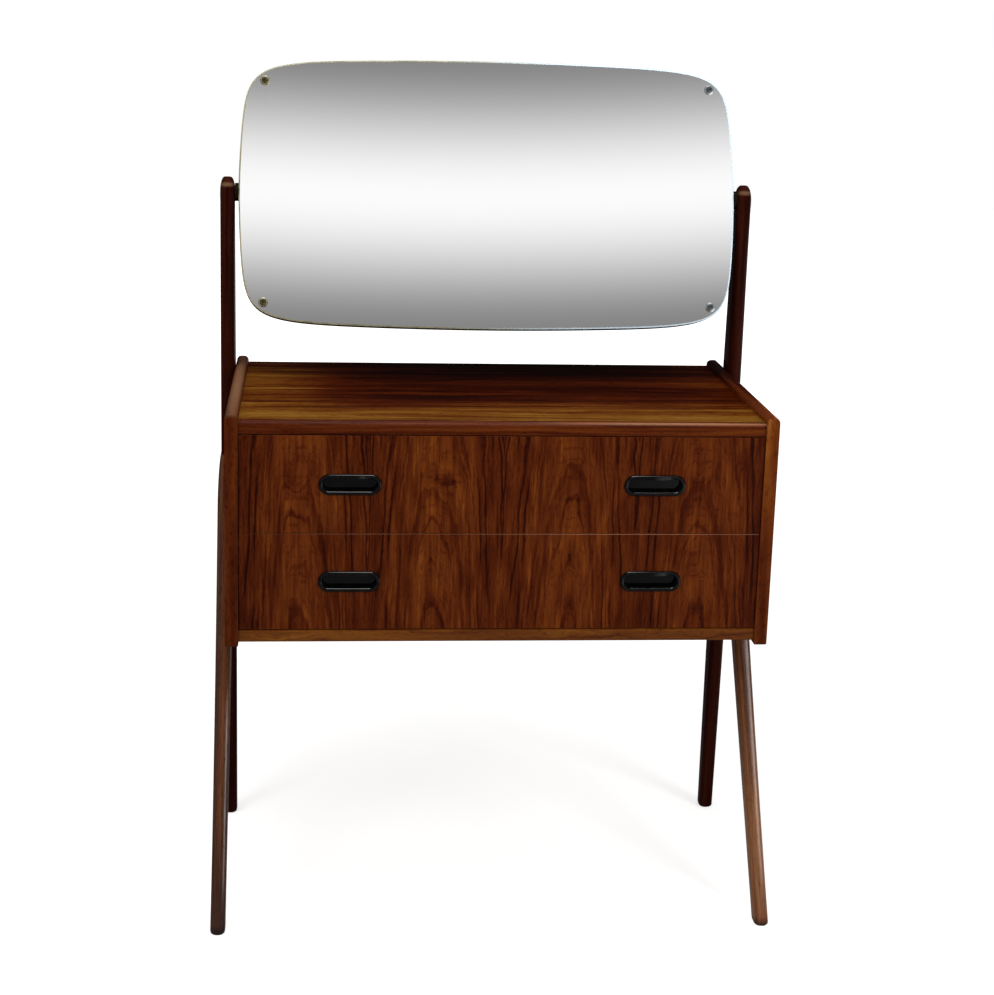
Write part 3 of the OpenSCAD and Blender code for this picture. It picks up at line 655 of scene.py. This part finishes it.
class Woods:
    """Every timber of the table, each built once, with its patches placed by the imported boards."""

    def __init__(self) -> None:
        """Builds the timbers."""
        # crown-cut veneer, book-matched in leaves: dark arches over red-brown, worn pale at the arrises
        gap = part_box("lower_drawer_front")[1][2] - 0.00035
        patches = (
            Patch((0.17, -0.1847, gap), (0.42, 0.03, 0.0012), 0.55, wear_and_highlight=True),
            Patch((-0.2, -0.1847, gap), (0.16, 0.03, 0.0012), 0.22, wear_and_highlight=True),
            # painted shade at both ends of the fronts, beside the side panels
            Patch((-0.372, 0.0, 0.58), (0.07, 0.5, 0.9), -0.14),
            Patch((0.372, 0.0, 0.58), (0.07, 0.5, 0.9), -0.18),
            Patch((-0.083, 0.0, 0.688), (0.022, 0.5, 0.032), 0.12, swell=0.008, ragged=0.3),
            Patch((-0.076, 0.0, 0.655), (0.028, 0.5, 0.014), -0.4, ragged=0.9),
            Patch((-0.093, 0.0, 0.622), (0.022, 0.5, 0.036), 0.22, ragged=0.4),
            Patch((-0.285, 0.0, 0.66), (0.022, 0.5, 0.04), -0.15, swell=0.006, ragged=0.9),
        )
        self.front = Timber(
            "rosewood_crown_veneer", Lie.UPRIGHT, FRONT_SHADES, CROWN_STREAKS, wander_mm=11.0, vein_mm=4.5,
            vein_depth=0.34, tone=0.59, leaf=Leaf(), patches=patches, arris=0.6, dry="#a06a4e",
        ).build()
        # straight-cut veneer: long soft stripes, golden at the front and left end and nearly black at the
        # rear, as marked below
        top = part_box("top_board")[1][2]
        patches = (
            # golden front band and paler ends: partly the wood's own tone, partly painted reflected light
            Patch((0.0, -0.165, top), (ALL, 0.17, ALL), 0.4),
            Patch((-0.37, 0.1, top), (0.25, 0.33, ALL), 0.42, ragged=0.2),
            Patch((0.37, 0.08, top), (0.15, 0.26, ALL), 0.13),
            # painted shade and a painted dark reflection at the rear, under the mirror
            Patch((0.05, 0.235, top), (0.5, 0.17, ALL), -0.22, ragged=0.2),
            Patch((0.0, -0.173, top), (ALL, 0.002, ALL), -0.7),
        )
        self.top = Timber(
            "rosewood_top_veneer", Lie.FLAT, TOP_SHADES, TOP_STREAKS, wander_mm=16.0, vein_mm=12.0,
            # the drift darkens the top towards the rear: painted shade, like the patch at the rear
            vein_depth=0.15, tone=0.24, drift=(0.0, -0.2, 0.0), sheen=0.009, patches=patches,
        ).build()
        # solid strip on the top's front edge: a dark glue line behind, and a painted highlight along its
        # arris at the right
        glue = Patch((0.0, -0.1727, top), (ALL, 0.0016, ALL), -0.7)
        worn = Patch((0.26, -0.181, top - 0.0008), (0.3, 0.005, 0.0035), 0.75, wear_and_highlight=True)
        self.edging = Timber(
            "rosewood_solid_edging", Lie.EDGE, FRONT_SHADES, ROSEWOOD_STREAKS, wander_mm=4.0,
            drift=(0.15, 0.0, 0.0), shift=(0.31, 0.0, 0.2), patches=(glue, worn),
        ).build()
        # paler solid wood with the same oil finish
        self.rail = Timber(
            "rosewood_solid_rail", Lie.EDGE, RAIL_SHADES, ROSEWOOD_STREAKS, wander_mm=20.0, tone=0.59,
            shift=(0.11, 0.0, 0.7), sheen=0.12,
        ).build()
        # veneered panels under a solid strip
        # painted highlight that turns the left strip's top greyish pale
        worn = Patch((-0.371, 0.0, 0.748), (0.03, 0.36, 0.011), 0.75, ragged=0.15, wear_and_highlight=True)
        panel = Timber(
            "rosewood_panel_left", Lie.SIDE, FRONT_SHADES, ROSEWOOD_STREAKS, tone=0.48,
            shift=(0.0, 0.4, 0.1), patches=(worn,), dry="#7d5c40", capped=True,
        )
        self.panel_left = panel.build()
        # painted dark reflection that turns the right panel's top and strip dark to the rear; the right
        # panel's lighter tone is partly its own and partly painted light from the right
        dark = Patch((0.371, 0.24, 0.746), (0.05, 0.42, 0.03), -0.95)
        panel = replace(panel, name="rosewood_panel_right", tone=0.74, shift=(0.0, 0.9, 0.3), patches=(dark,))
        self.panel_right = panel.build()
        # plain pale hardwood, planed and not oiled, so it looks dry
        inner = Timber(
            "ramin_plain_sawn", Lie.SIDE_DEEP, INNER_SHADES, PLAIN_STREAKS, vein_depth=0.05, sheen=0.3,
            roughness=0.6,
        )
        self.inner = inner.build()
        self.inner_wide = replace(inner, name="ramin_drawer_back", lie=Lie.EDGE).build()
        # turned beech: even, pinkish and a little smoother
        beech = replace(inner, name="beech_turned", lie=Lie.EDGE, shades=BEECH_SHADES, roughness=0.55)
        self.beech = beech.build()
        # rotary-cut plywood: broad wandering figure on a pale sheet
        plywood = replace(inner, name="birch_plywood_flat", lie=Lie.FLAT, shades=BIRCH_SHADES)
        plywood = replace(plywood, wander_mm=20.0, vein_depth=0.06)
        self.plywood_flat = plywood.build()
        self.plywood_back = replace(plywood, name="birch_plywood_upright", lie=Lie.EDGE).build()

    def frame(self, side: Side) -> dict[str, Finish]:
        """Solid rosewood of a side frame: the post nearly black and dull, the leg satin and rounded.

        Args:
            side: the frame's side.

        Returns:
            The materials by the names of the frame's pieces.
        """
        post_log, leg_log = (start + (side is Side.RIGHT) for start in (0.13, 0.37))
        # the post's head carries a painted highlight at the front
        head = Patch((side.value * 0.391, 0.146, 1.019), (0.02, 0.016, 0.005), 0.6, wear_and_highlight=True)
        post = Timber(
            f"rosewood_post_{side.word}", Lie.UPRIGHT, POST_SHADES, POST_STREAKS, wander_mm=4.0,
            turn=(-2.0, 0.0, 32.0), shift=(post_log, 0.3 * post_log, 0.0), roughness=0.3, sheen=0.03,
            patches=(head,), dry="#7a5a42",
        )
        # each leg's foot darkens towards its tip
        foot = Patch((side.value * 0.4, -0.2, 0.0), (0.2, 0.3, 0.014), -0.5)
        # painted shade over the left leg's lower part
        shaded = Patch((-0.4, -0.22, 0.0), (0.2, 0.3, 0.2), -0.26)
        # the right leg's lower part is painted paler: partly its own tone, partly painted light from the
        # right
        paler = Patch((0.4, -0.17, 0.1), (0.3, 0.5, 0.36), 0.38)
        leg = replace(
            post, name=f"rosewood_leg_{side.word}", shades=LEG_SHADES, turn=(32.0, 0.0, 32.0),
            shift=(leg_log, 0.3 * leg_log, 0.0), roughness=0.25, sheen=0.3,
            patches=(foot, shaded if side is Side.LEFT else paler), rounding_mm=7.0,
        )
        return {f"rear_post_{side.word}": post.build(), f"front_leg_{side.word}": leg.build()}


class Metals:
    """The table's metals, plastics, glass and paint, each built once."""

    def __init__(self) -> None:
        """Builds the finishes."""
        # moulded gloss plastic: deep black, sharp small highlights
        self.pull = Smooth(
            "black_gloss_plastic", "#030202", "#080605", roughness=0.11, spread=0.03, patch_mm=9.0,
            bump=0.015, specular=0.19,
        ).build()
        # brass gone olive and brown in patches; its turn to cool grey at the mirror's right side is painted
        # cool light
        self.brass = Smooth(
            "tarnished_brass_plate", "#dcd6b8", "#a89e78", metallic=1.0, roughness=0.5, patch_mm=7.0,
            patches=0.2, bump=0.02, right="#cfd5d8",
        ).build()
        # the sunk screw heads are painted darker than the cups around them, as the shade in their recesses;
        # their grey at the right side is painted cool light
        self.screw = Smooth(
            "dirty_brass_screw", "#8a825e", "#504c30", metallic=1.0, roughness=0.48, patch_mm=3.0,
            patches=0.5, bump=0.03, right="#747a7e",
        ).build()
        # zinc-plated steel, dull and slightly mottled
        self.steel = Smooth(
            "zinc_plated_steel", "#a9abad", "#75726c", metallic=1.0, roughness=0.38, patch_mm=2.5
        ).build()
        # clear nylon tube around the mirror screws, yellowed
        self.sleeve = Smooth(
            "natural_nylon", "#d9d5c6", "#c2b896", roughness=0.45, patch_mm=4.0, specular=0.4
        ).build()
        # pressed dark fibre between mirror and post: rough and without highlights
        self.spacer = Smooth(
            "black_fibre_spacer", "#0f0b08", "#1e1610", roughness=0.7, patch_mm=2.0, bump=0.3, specular=0.08
        ).build()
        # ground glass at the pane's rim: olive, turning pale blue towards the right end as painted cool light
        self.ground = Smooth(
            "ground_glass_edge", "#989278", "#7a7854", roughness=0.45, patch_mm=24.0, patches=0.35,
            specular=0.3, right="#cfe2ee",
        ).build()
        # grey-brown protective paint over the silver at the back of the pane
        self.back_paint = Smooth(
            "mirror_back_paint", "#6d5f55", "#584c44", roughness=0.6, patch_mm=20.0, specular=0.3
        ).build()
        # silver behind clear glass: a sharp reflection under the haze of its age
        self.silver = Silvering().build()


class BoardSoftener:
    """Modifiers that give a sawn board its sanded arrises and clean shading, without touching its mesh."""

    SHARP = math.radians(35)

    def __init__(self) -> None:
        """Builds the two node groups."""
        self.boards = self._group("clean_board_shading", angle=25.0)
        self.rounds = self._group("clean_round_shading", angle=42.0)

    def _group(self, name: str, angle: float) -> bpy.types.NodeTree:
        """Makes a group that welds the mesh, drops its stored normals and marks edges sharp by angle.

        Args:
            name: its name.
            angle: edges flatter than this many degrees are shaded smooth.

        Returns:
            The group.
        """
        group = bpy.data.node_groups.new(name, "GeometryNodeTree")
        for way in ("INPUT", "OUTPUT"):
            group.interface.new_socket("Geometry", in_out=way, socket_type="NodeSocketGeometry")
        kinds = (
            "NodeGroupInput", "GeometryNodeMergeByDistance", "GeometryNodeRemoveAttribute",
            "GeometryNodeSetShadeSmooth", "GeometryNodeSetShadeSmooth", "NodeGroupOutput",
            "GeometryNodeInputMeshEdgeAngle", "FunctionNodeCompare",
        )
        start, weld, drop, faces, edges, end, bend, sharp = (group.nodes.new(kind) for kind in kinds)
        chain = (start, weld, drop, faces, edges, end)
        for first, second in zip(chain, chain[1:]):
            group.links.new(first.outputs[0], second.inputs[0])
        weld.inputs["Distance"].default_value = WELD
        drop.inputs["Name"].default_value = "custom_normal"
        faces.inputs["Shade Smooth"].default_value = True
        edges.domain = "EDGE"
        edges.inputs["Shade Smooth"].default_value = False
        sharp.operation = "GREATER_THAN"
        sharp.inputs["B"].default_value = math.radians(angle)
        group.links.new(bend.outputs["Unsigned Angle"], sharp.inputs["A"])
        group.links.new(sharp.outputs["Result"], edges.inputs["Selection"])
        return group

    def soften(self, piece: Piece, arris_mm: float) -> None:
        """Cleans a piece's shading, and eases the arrises of a sawn board.

        Args:
            piece: the piece.
            arris_mm: width of a board's arris, or 0 for a moulded or shaped piece.
        """
        group = self.boards if arris_mm else self.rounds
        piece.modifiers.new("clean_shading", "NODES").node_group = group
        if arris_mm:
            arris = piece.modifiers.new("sanded_arris", "BEVEL")
            arris.width = arris_mm * MILLIMETRE
            arris.segments = 2
            arris.limit_method = "ANGLE"
            arris.angle_limit = self.SHARP
            arris.harden_normals = True


@dataclass
class Part:
    """A sub-assembly of the table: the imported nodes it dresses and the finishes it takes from.

    Attributes:
        nodes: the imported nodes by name.
        woods: the timbers.
        metals: the other finishes.
        softener: the modifiers.
    """

    nodes: dict[str, Piece]
    woods: Woods
    metals: Metals
    softener: BoardSoftener

    def dress(self, finishes: dict[str, Finish], arris_mm: float | None = None) -> list[Piece]:
        """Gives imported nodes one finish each, in place of all they have.

        Args:
            finishes: the finishes by the nodes' names.
            arris_mm: the arris to soften them with, 0 for rounded pieces and None for hidden ones.

        Returns:
            The nodes' objects.
        """
        pieces = [self.nodes[name] for name in finishes]
        for piece, finish in zip(pieces, finishes.values()):
            piece.data.materials.clear()
            piece.data.materials.append(finish)
            if arris_mm is not None:
                self.softener.soften(piece, arris_mm)
        return pieces


@dataclass
class Cabinet(Part):
    """The case: side panels, top, lipping, rail, bottom, back, runners and their fasteners.

    Attributes:
        arris_mm: sanded arris of the visible boards.
    """

    arris_mm: float = 0.7

    def build(self) -> list[Piece]:
        """Dresses the case.

        Returns:
            Its pieces.
        """
        woods = self.woods
        visible = {
            "side_panel_left": woods.panel_left,
            "side_panel_right": woods.panel_right,
            "top_board": woods.top,
            "top_lipping": woods.edging,
            "bottom_rail": woods.rail,
        }
        boards = self.dress(visible, self.arris_mm)
        hidden = {f"runner_{level.value}_{side.word}": woods.inner for level in Level for side in Side}
        hidden |= {
            "bottom_board": woods.plywood_flat,
            "back_panel": woods.plywood_back,
            "carcass_dowels": woods.beech,
            "drawer_stops": woods.beech,
            "back_panel_screws": self.metals.steel,
            "runner_screws": self.metals.steel,
        }
        return boards + self.dress(hidden)


@dataclass
class Drawer(Part):
    """One full-width drawer with its front, box and two pulls.

    Attributes:
        level: its place in the case.
        arris_mm: sanded arris of the front.
    """

    level: Level = Level.UPPER
    arris_mm: float = 0.9

    def build(self) -> list[Piece]:
        """Dresses the drawer.

        Returns:
            Its pieces.
        """
        level, woods = self.level.value, self.woods
        fronts = self.dress({f"{level}_drawer_front": woods.front}, self.arris_mm)
        pulls = self.dress({f"{level}_pull_{side.word}": self.metals.pull for side in Side}, 0.0)
        box = {f"{level}_drawer_side_{side.word}": woods.inner for side in Side}
        box |= {f"{level}_drawer_back": woods.inner_wide, f"{level}_drawer_bottom": woods.plywood_flat}
        return fronts + pulls + self.dress(box)


@dataclass
class SideFrames(Part):
    """The two side frames: a rear post that carries the mirror and a front leg jointed into it."""

    def build(self) -> list[Piece]:
        """Dresses both frames.

        Returns:
            Their pieces.
        """
        pieces = self.dress(self.woods.frame(Side.LEFT) | self.woods.frame(Side.RIGHT), 0.0)
        fixings = {f"frame_screws_{side.word}": self.metals.brass for side in Side}
        fixings |= {"leg_dowels": self.woods.beech, "pivot_washers": self.metals.brass}
        return pieces + self.dress(fixings)


class Face(Enum):
    """A face of the pane, by the place of its finish."""

    SILVERED = 0
    GROUND = 1
    PAINTED = 2

    @classmethod
    def facing(cls, ahead: float) -> int:
        """The place of a face's finish, by the cosine between the face and the mirror's front."""
        return (cls.GROUND, cls.SILVERED, cls.PAINTED)[round(ahead)].value


@dataclass
class TiltingMirror(Part):
    """The mirror: pane, backing board, four screws with cup washers, sleeves and the two pivots.

    Attributes:
        ground_mm: width of the pane's ground edge.
        grind_mm: how far that edge slopes back.
    """

    ground_mm: float = 2.0
    grind_mm: float = 0.8

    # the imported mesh's faces that differ by less than this lie in one plane
    FLAT = math.radians(0.5)

    def build(self) -> list[Piece]:
        """Dresses the mirror and makes the pane with its ground edge.

        Returns:
            Its pieces, the pane first.
        """
        metals = self.metals
        finishes = {
            "mirror_backing": self.woods.edging,
            "mirror_screws": metals.screw,
            "mirror_cup_washers": metals.brass,
            "mirror_sleeves": metals.sleeve,
        }
        for side in Side:
            finishes[f"pivot_bolt_{side.word}"] = metals.brass
            finishes[f"pivot_insert_{side.word}"] = metals.steel
            finishes[f"pivot_spacer_{side.word}"] = metals.spacer
        return [self._pane(), *self.dress(finishes)]

    def _pane(self) -> Piece:
        """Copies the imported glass, grinds its front edge and silvers, grinds or paints each face.

        Returns:
            The pane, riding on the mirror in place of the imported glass.
        """
        work = bmesh.new()
        work.from_mesh(self.nodes["mirror_glass"].data)
        bmesh.ops.remove_doubles(work, verts=work.verts, dist=WELD)
        bmesh.ops.dissolve_limit(work, angle_limit=self.FLAT, verts=work.verts, edges=work.edges)
        largest = max(work.faces, key=lambda f: f.calc_area() * (f.normal.y < 0))
        forward = largest.normal.copy()
        for face in work.faces:
            face.material_index = Face.facing(face.normal.dot(forward))
            face.smooth = False
        front = [f for f in work.faces if f.material_index == Face.SILVERED.value]
        outline = {self._spot_of(corner) for corner in self._outline(set(front))}
        grind = {"thickness": self.ground_mm * MILLIMETRE, "use_boundary": True, "use_even_offset": True}
        ring = bmesh.ops.inset_region(work, faces=front, **grind)["faces"]
        outer = {corner for corner in work.verts if self._spot_of(corner) in outline}
        for face in ring:
            kind = Face.GROUND if outer.intersection(face.verts) else Face.SILVERED
            face.material_index = kind.value
        for corner in outer:
            corner.co -= forward * self.grind_mm * MILLIMETRE
        mesh = bpy.data.meshes.new("pane")
        work.to_mesh(mesh)
        work.free()
        for finish in (self.metals.silver, self.metals.ground, self.metals.back_paint):
            mesh.materials.append(finish)
        pane = stand("pane", mesh)
        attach(pane, "mirror")
        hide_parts("mirror_glass")
        return pane

    @staticmethod
    def _spot_of(corner: bmesh.types.BMVert) -> tuple[float, ...]:
        """Where a corner is, rounded to a micrometre."""
        return tuple(round(value, 6) for value in corner.co)

    @staticmethod
    def _outline(front: set[bmesh.types.BMFace]) -> set[bmesh.types.BMVert]:
        """Walks the borders of the front, the screw holes' among them, and keeps the widest.

        Args:
            front: the silvered faces.

        Returns:
            The corners of the pane's outline.
        """
        border = {e for f in front for e in f.edges if sum(n in front for n in e.link_faces) == 1}
        loops = []
        while border:
            loop = set(border.pop().verts)
            while near := {e for e in border if loop.intersection(e.verts)}:
                border -= near
                loop.update(v for e in near for v in e.verts)
            loops.append(loop)
        return max(loops, key=lambda loop: max(v.co.x for v in loop) - min(v.co.x for v in loop))


@dataclass(frozen=True)
class SoftLamp:
    """A square soft lamp: its place, the point it faces, its panel's side in metres and its power."""

    name: str
    place: Triple
    target: Triple
    side: float
    watts: float

    def hang(self, pieces: tuple[Piece, ...] = ()) -> None:
        """Hangs the lamp, for all diffuse light or for the highlights of a few pieces.

        Args:
            pieces: these few pieces, if so.
        """
        light = bpy.data.lights.new(self.name, "AREA")
        light.size = self.side
        light.energy = self.watts
        lamp = stand(self.name, light)
        lamp.location = self.place
        way = Vector(self.target) - Vector(self.place)
        lamp.rotation_euler = way.to_track_quat("-Z", "Y").to_euler()
        lamp.visible_camera = False
        # a lamp's hard square in the mirror would look like a hole in it, so gloss sees the glows instead
        lamp.visible_glossy = bool(pieces)
        if pieces:
            lamp.visible_diffuse = False
            reached = bpy.data.collections.new(f"{self.name}_reach")
            for piece in pieces:
                reached.objects.link(piece)
            lamp.light_linking.receiver_collection = reached


@dataclass
class Studio:
    """A plain pale floor, a white surround and soft lamps at a plain level.

    Attributes:
        floor_half: half the floor's side, in metres.
        floor_colour: its lit colour, except to gloss.
        floor_grey: its lit grey to gloss, by y: mid-grey before the table and dark behind it.
        floor_dim: its own light.
        floor_right: its own light to gloss, by x, as from daylight at the right.
        floor_lit: its own light to the camera, by distance from the table.
        soft_level: how bright the surround is for diffuse light.
        band_height: sine of the elevation of the light band that gloss shows.
        band_slope: how much the band leans from left to right.
        band: how bright it is, by distance from its middle.
        horizon: what gloss gains low down, by elevation.
        ahead: share of that gain, by y of the way.
        zenith: what gloss gains overhead, by elevation.
        rear_way: the way to the darkest surround, low behind the table.
        rear: share of the light that is left, by how far a way goes there.
    """

    floor_half: float = 9.0
    floor_colour: str = "#c4c4c4"
    floor_grey: Span = (0.1, 0.6, 0.26, 0.03)
    floor_dim: float = 0.05
    floor_right: Span = (0.5, 1.3, 0.05, 1.5)
    floor_lit: Span = (1.3, 4.0, 0.58, 1.0)
    soft_level: float = 0.55
    band_height: float = 0.435
    band_slope: float = 0.0245
    band: Span = (0.0, 0.067, 1.0, 0.24)
    horizon: Span = (0.0, 0.3, 0.4, 0.0)
    ahead: Span = (-0.7, -0.3, 1.0, 0.0)
    zenith: Span = (0.86, 1.0, 0.0, 1.6)
    rear_way: Triple = (0.0, 1.0, -0.9)
    rear: Span = (0.05, 0.45, 1.0, 0.15)

    def build(self, legs: tuple[Piece, ...], edges: tuple[Piece, ...]) -> None:
        """Builds the floor, the surround and the lamps.

        Args:
            legs: the pieces that show the window as a bright line.
            edges: the pieces that show the ceiling's strip so.
        """
        self._floor()
        self._surround()
        SoftLamp("overhead_softbox", (-0.5, -0.5, 3.2), (0.0, 0.1, 0.6), 1.1, 42.0).hang()
        SoftLamp("front_left_softbox", (-2.2, -2.4, 2.3), (0.0, 0.0, 0.6), 1.2, 24.0).hang()
        SoftLamp("front_right_softbox", (1.6, -1.6, 2.0), (0.0, 0.0, 0.4), 0.7, 26.0).hang()
        SoftLamp("right_window", (1.35, -0.92, 1.1), (0.0, -0.2, 0.3), 0.8, 19.0).hang(legs)
        SoftLamp("ceiling_strip", (0.1, -0.7, 2.0), (0.0, -0.18, 0.6), 0.7, 24.0).hang(edges)

    def _floor(self) -> None:
        """Lays the floor: white to the camera where it is lit, a shade darker under the table."""
        mesh = bpy.data.meshes.new("studio_floor")
        ends = (-self.floor_half, self.floor_half)
        mesh.from_pydata([(x, y, 0) for y in ends for x in ends], [], [(0, 1, 3, 2)])
        floor = stand("studio_floor", mesh)
        material = bpy.data.materials.new("pale_studio_floor")
        shader = Shader(material)
        seen, glossy = self._rays(shader)
        place = shader.add("TexCoord").outputs["Object"]
        axes = shader.add("SeparateXYZ", (place,)).outputs
        away = shader.add("VectorMath", (place,), **LENGTH).outputs["Value"]
        lit = shader.add("MapRange", (away, *self.floor_lit), **EASED)
        right = shader.add("MapRange", (axes["X"], *self.floor_right), **EASED)
        grey = shader.add("MapRange", (axes["Y"], *self.floor_grey), **EASED)
        own = shader.add("Mix", {0: glossy, 2: self.floor_dim, 3: right})
        colour = {0: glossy, 6: linear(self.floor_colour), 7: grey}
        skin = {
            "Base Color": shader.add("Mix", colour, data_type="RGBA").outputs[2],
            "Roughness": 0.9,
            "Specular IOR Level": 0.0,
            "Emission Color": linear("#ffffff"),
            "Emission Strength": shader.add("Math", (seen, lit, own), **ADDED),
        }
        shader.add("OutputMaterial", {"Surface": shader.add("BsdfPrincipled", skin)})
        mesh.materials.append(material)

    def _surround(self) -> None:
        """White to the camera; a soft band of light over grey to gloss; plain grey to diffuse light."""
        world = bpy.data.worlds.new("studio_surround")
        bpy.context.scene.world = world
        shader = Shader(world)
        seen, glossy = self._rays(shader)
        way = shader.add("TexCoord").outputs["Generated"]
        level = shader.add("VectorMath", (way, (self.band_slope, 0.0, 1.0)), **DOT).outputs["Value"]
        off = shader.add("Math", (level, self.band_height), operation="SUBTRACT")
        off = shader.add("Math", (off,), operation="ABSOLUTE")
        front = shader.add("SeparateXYZ", (way,)).outputs["Y"]
        back = shader.add("VectorMath", (way, self.rear_way), **DOT).outputs["Value"]
        measures = ((off, self.band), (level, self.horizon), (front, self.ahead), (level, self.zenith))
        band, horizon, ahead, zenith = (shader.add("MapRange", (m, *span), **EASED) for m, span in measures)
        light = shader.add("Math", (horizon, ahead, band), **ADDED)
        light = shader.add("Math", (light, zenith), **SUM)
        rear = shader.add("MapRange", (back, *self.rear), **EASED)
        light = shader.add("Math", (light, rear), **PRODUCT)
        light = shader.add("Mix", {0: glossy, 2: self.soft_level, 3: light})
        light = shader.add("Mix", {0: seen, 2: light, 3: 1.0})
        glow = shader.add("Background", {"Color": linear("#ffffff"), "Strength": light})
        shader.add("OutputWorld", {"Surface": glow})

    @staticmethod
    def _rays(shader: Shader) -> tuple[Node, Socket]:
        """Tells the rays apart.

        Args:
            shader: the tree that asks.

        Returns:
            Whether a ray comes from the camera, also through glass, and whether it is a glossy one.
        """
        path = shader.add("LightPath").outputs
        seen = (path["Is Camera Ray"], path["Is Transmission Ray"])
        return shader.add("Math", seen, operation="MAXIMUM"), path["Is Glossy Ray"]


@dataclass
class StudioCamera:
    """The camera at the photograph's viewing angle.

    Attributes:
        place: where it stands, in metres.
        turn: turn to the left, in radians.
        dip: dip below the horizontal, in radians.
        tip: roll, in radians.
        focal_px: focal length in pixels of the picture.
        axis_px: where the optical axis meets the picture, in pixels.
        picture_px: width and height of the picture.
    """

    place: Triple = (-0.25795, -2.604775, 1.30703)
    turn: float = -0.08715
    dip: float = 0.2212
    tip: float = 0.02624
    focal_px: float = 1836.87
    axis_px: tuple[float, float] = (472.0, 405.0)
    picture_px: tuple[int, int] = (994, 995)

    def build(self) -> None:
        """Sets the camera up and makes it the scene's."""
        camera = bpy.data.cameras.new("studio_camera")
        width, height = self.picture_px
        longest = max(width, height)
        camera.lens = self.focal_px / longest * camera.sensor_width
        camera.shift_x = (width / 2 - self.axis_px[0]) / longest
        camera.shift_y = (self.axis_px[1] - height / 2) / longest
        body = stand("studio_camera", camera)
        body.matrix_world = (
            Matrix.Translation(self.place)
            @ Matrix.Rotation(self.turn, 4, "Z")
            @ Matrix.Rotation(math.pi / 2 - self.dip, 4, "X")
            @ Matrix.Rotation(self.tip, 4, "Z")
        )
        bpy.context.scene.camera = body


def main() -> None:
    """Builds the scene part by part."""
    logging.basicConfig(level=logging.INFO, format="%(message)s")
    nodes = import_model()["nodes"]
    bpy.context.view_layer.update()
    bpy.context.scene.view_settings.view_transform = "Standard"
    kit = (nodes, Woods(), Metals(), BoardSoftener())
    drawers = [Drawer(*kit, level=level) for level in Level]
    for part in (Cabinet(*kit), *drawers, SideFrames(*kit), TiltingMirror(*kit)):
        for piece in part.build():
            LOG.info("%s: %s dressed", type(part).__name__, piece.name)
    legs = tuple(nodes[f"front_leg_{side.word}"] for side in Side)
    pulls = tuple(nodes[f"{level.value}_pull_{side.word}"] for level in Level for side in Side)
    Studio().build(legs, (*pulls, nodes["top_lipping"]))
    StudioCamera().build()
    LOG.info("studio and camera ready")


if __name__ == "__main__":
    main()
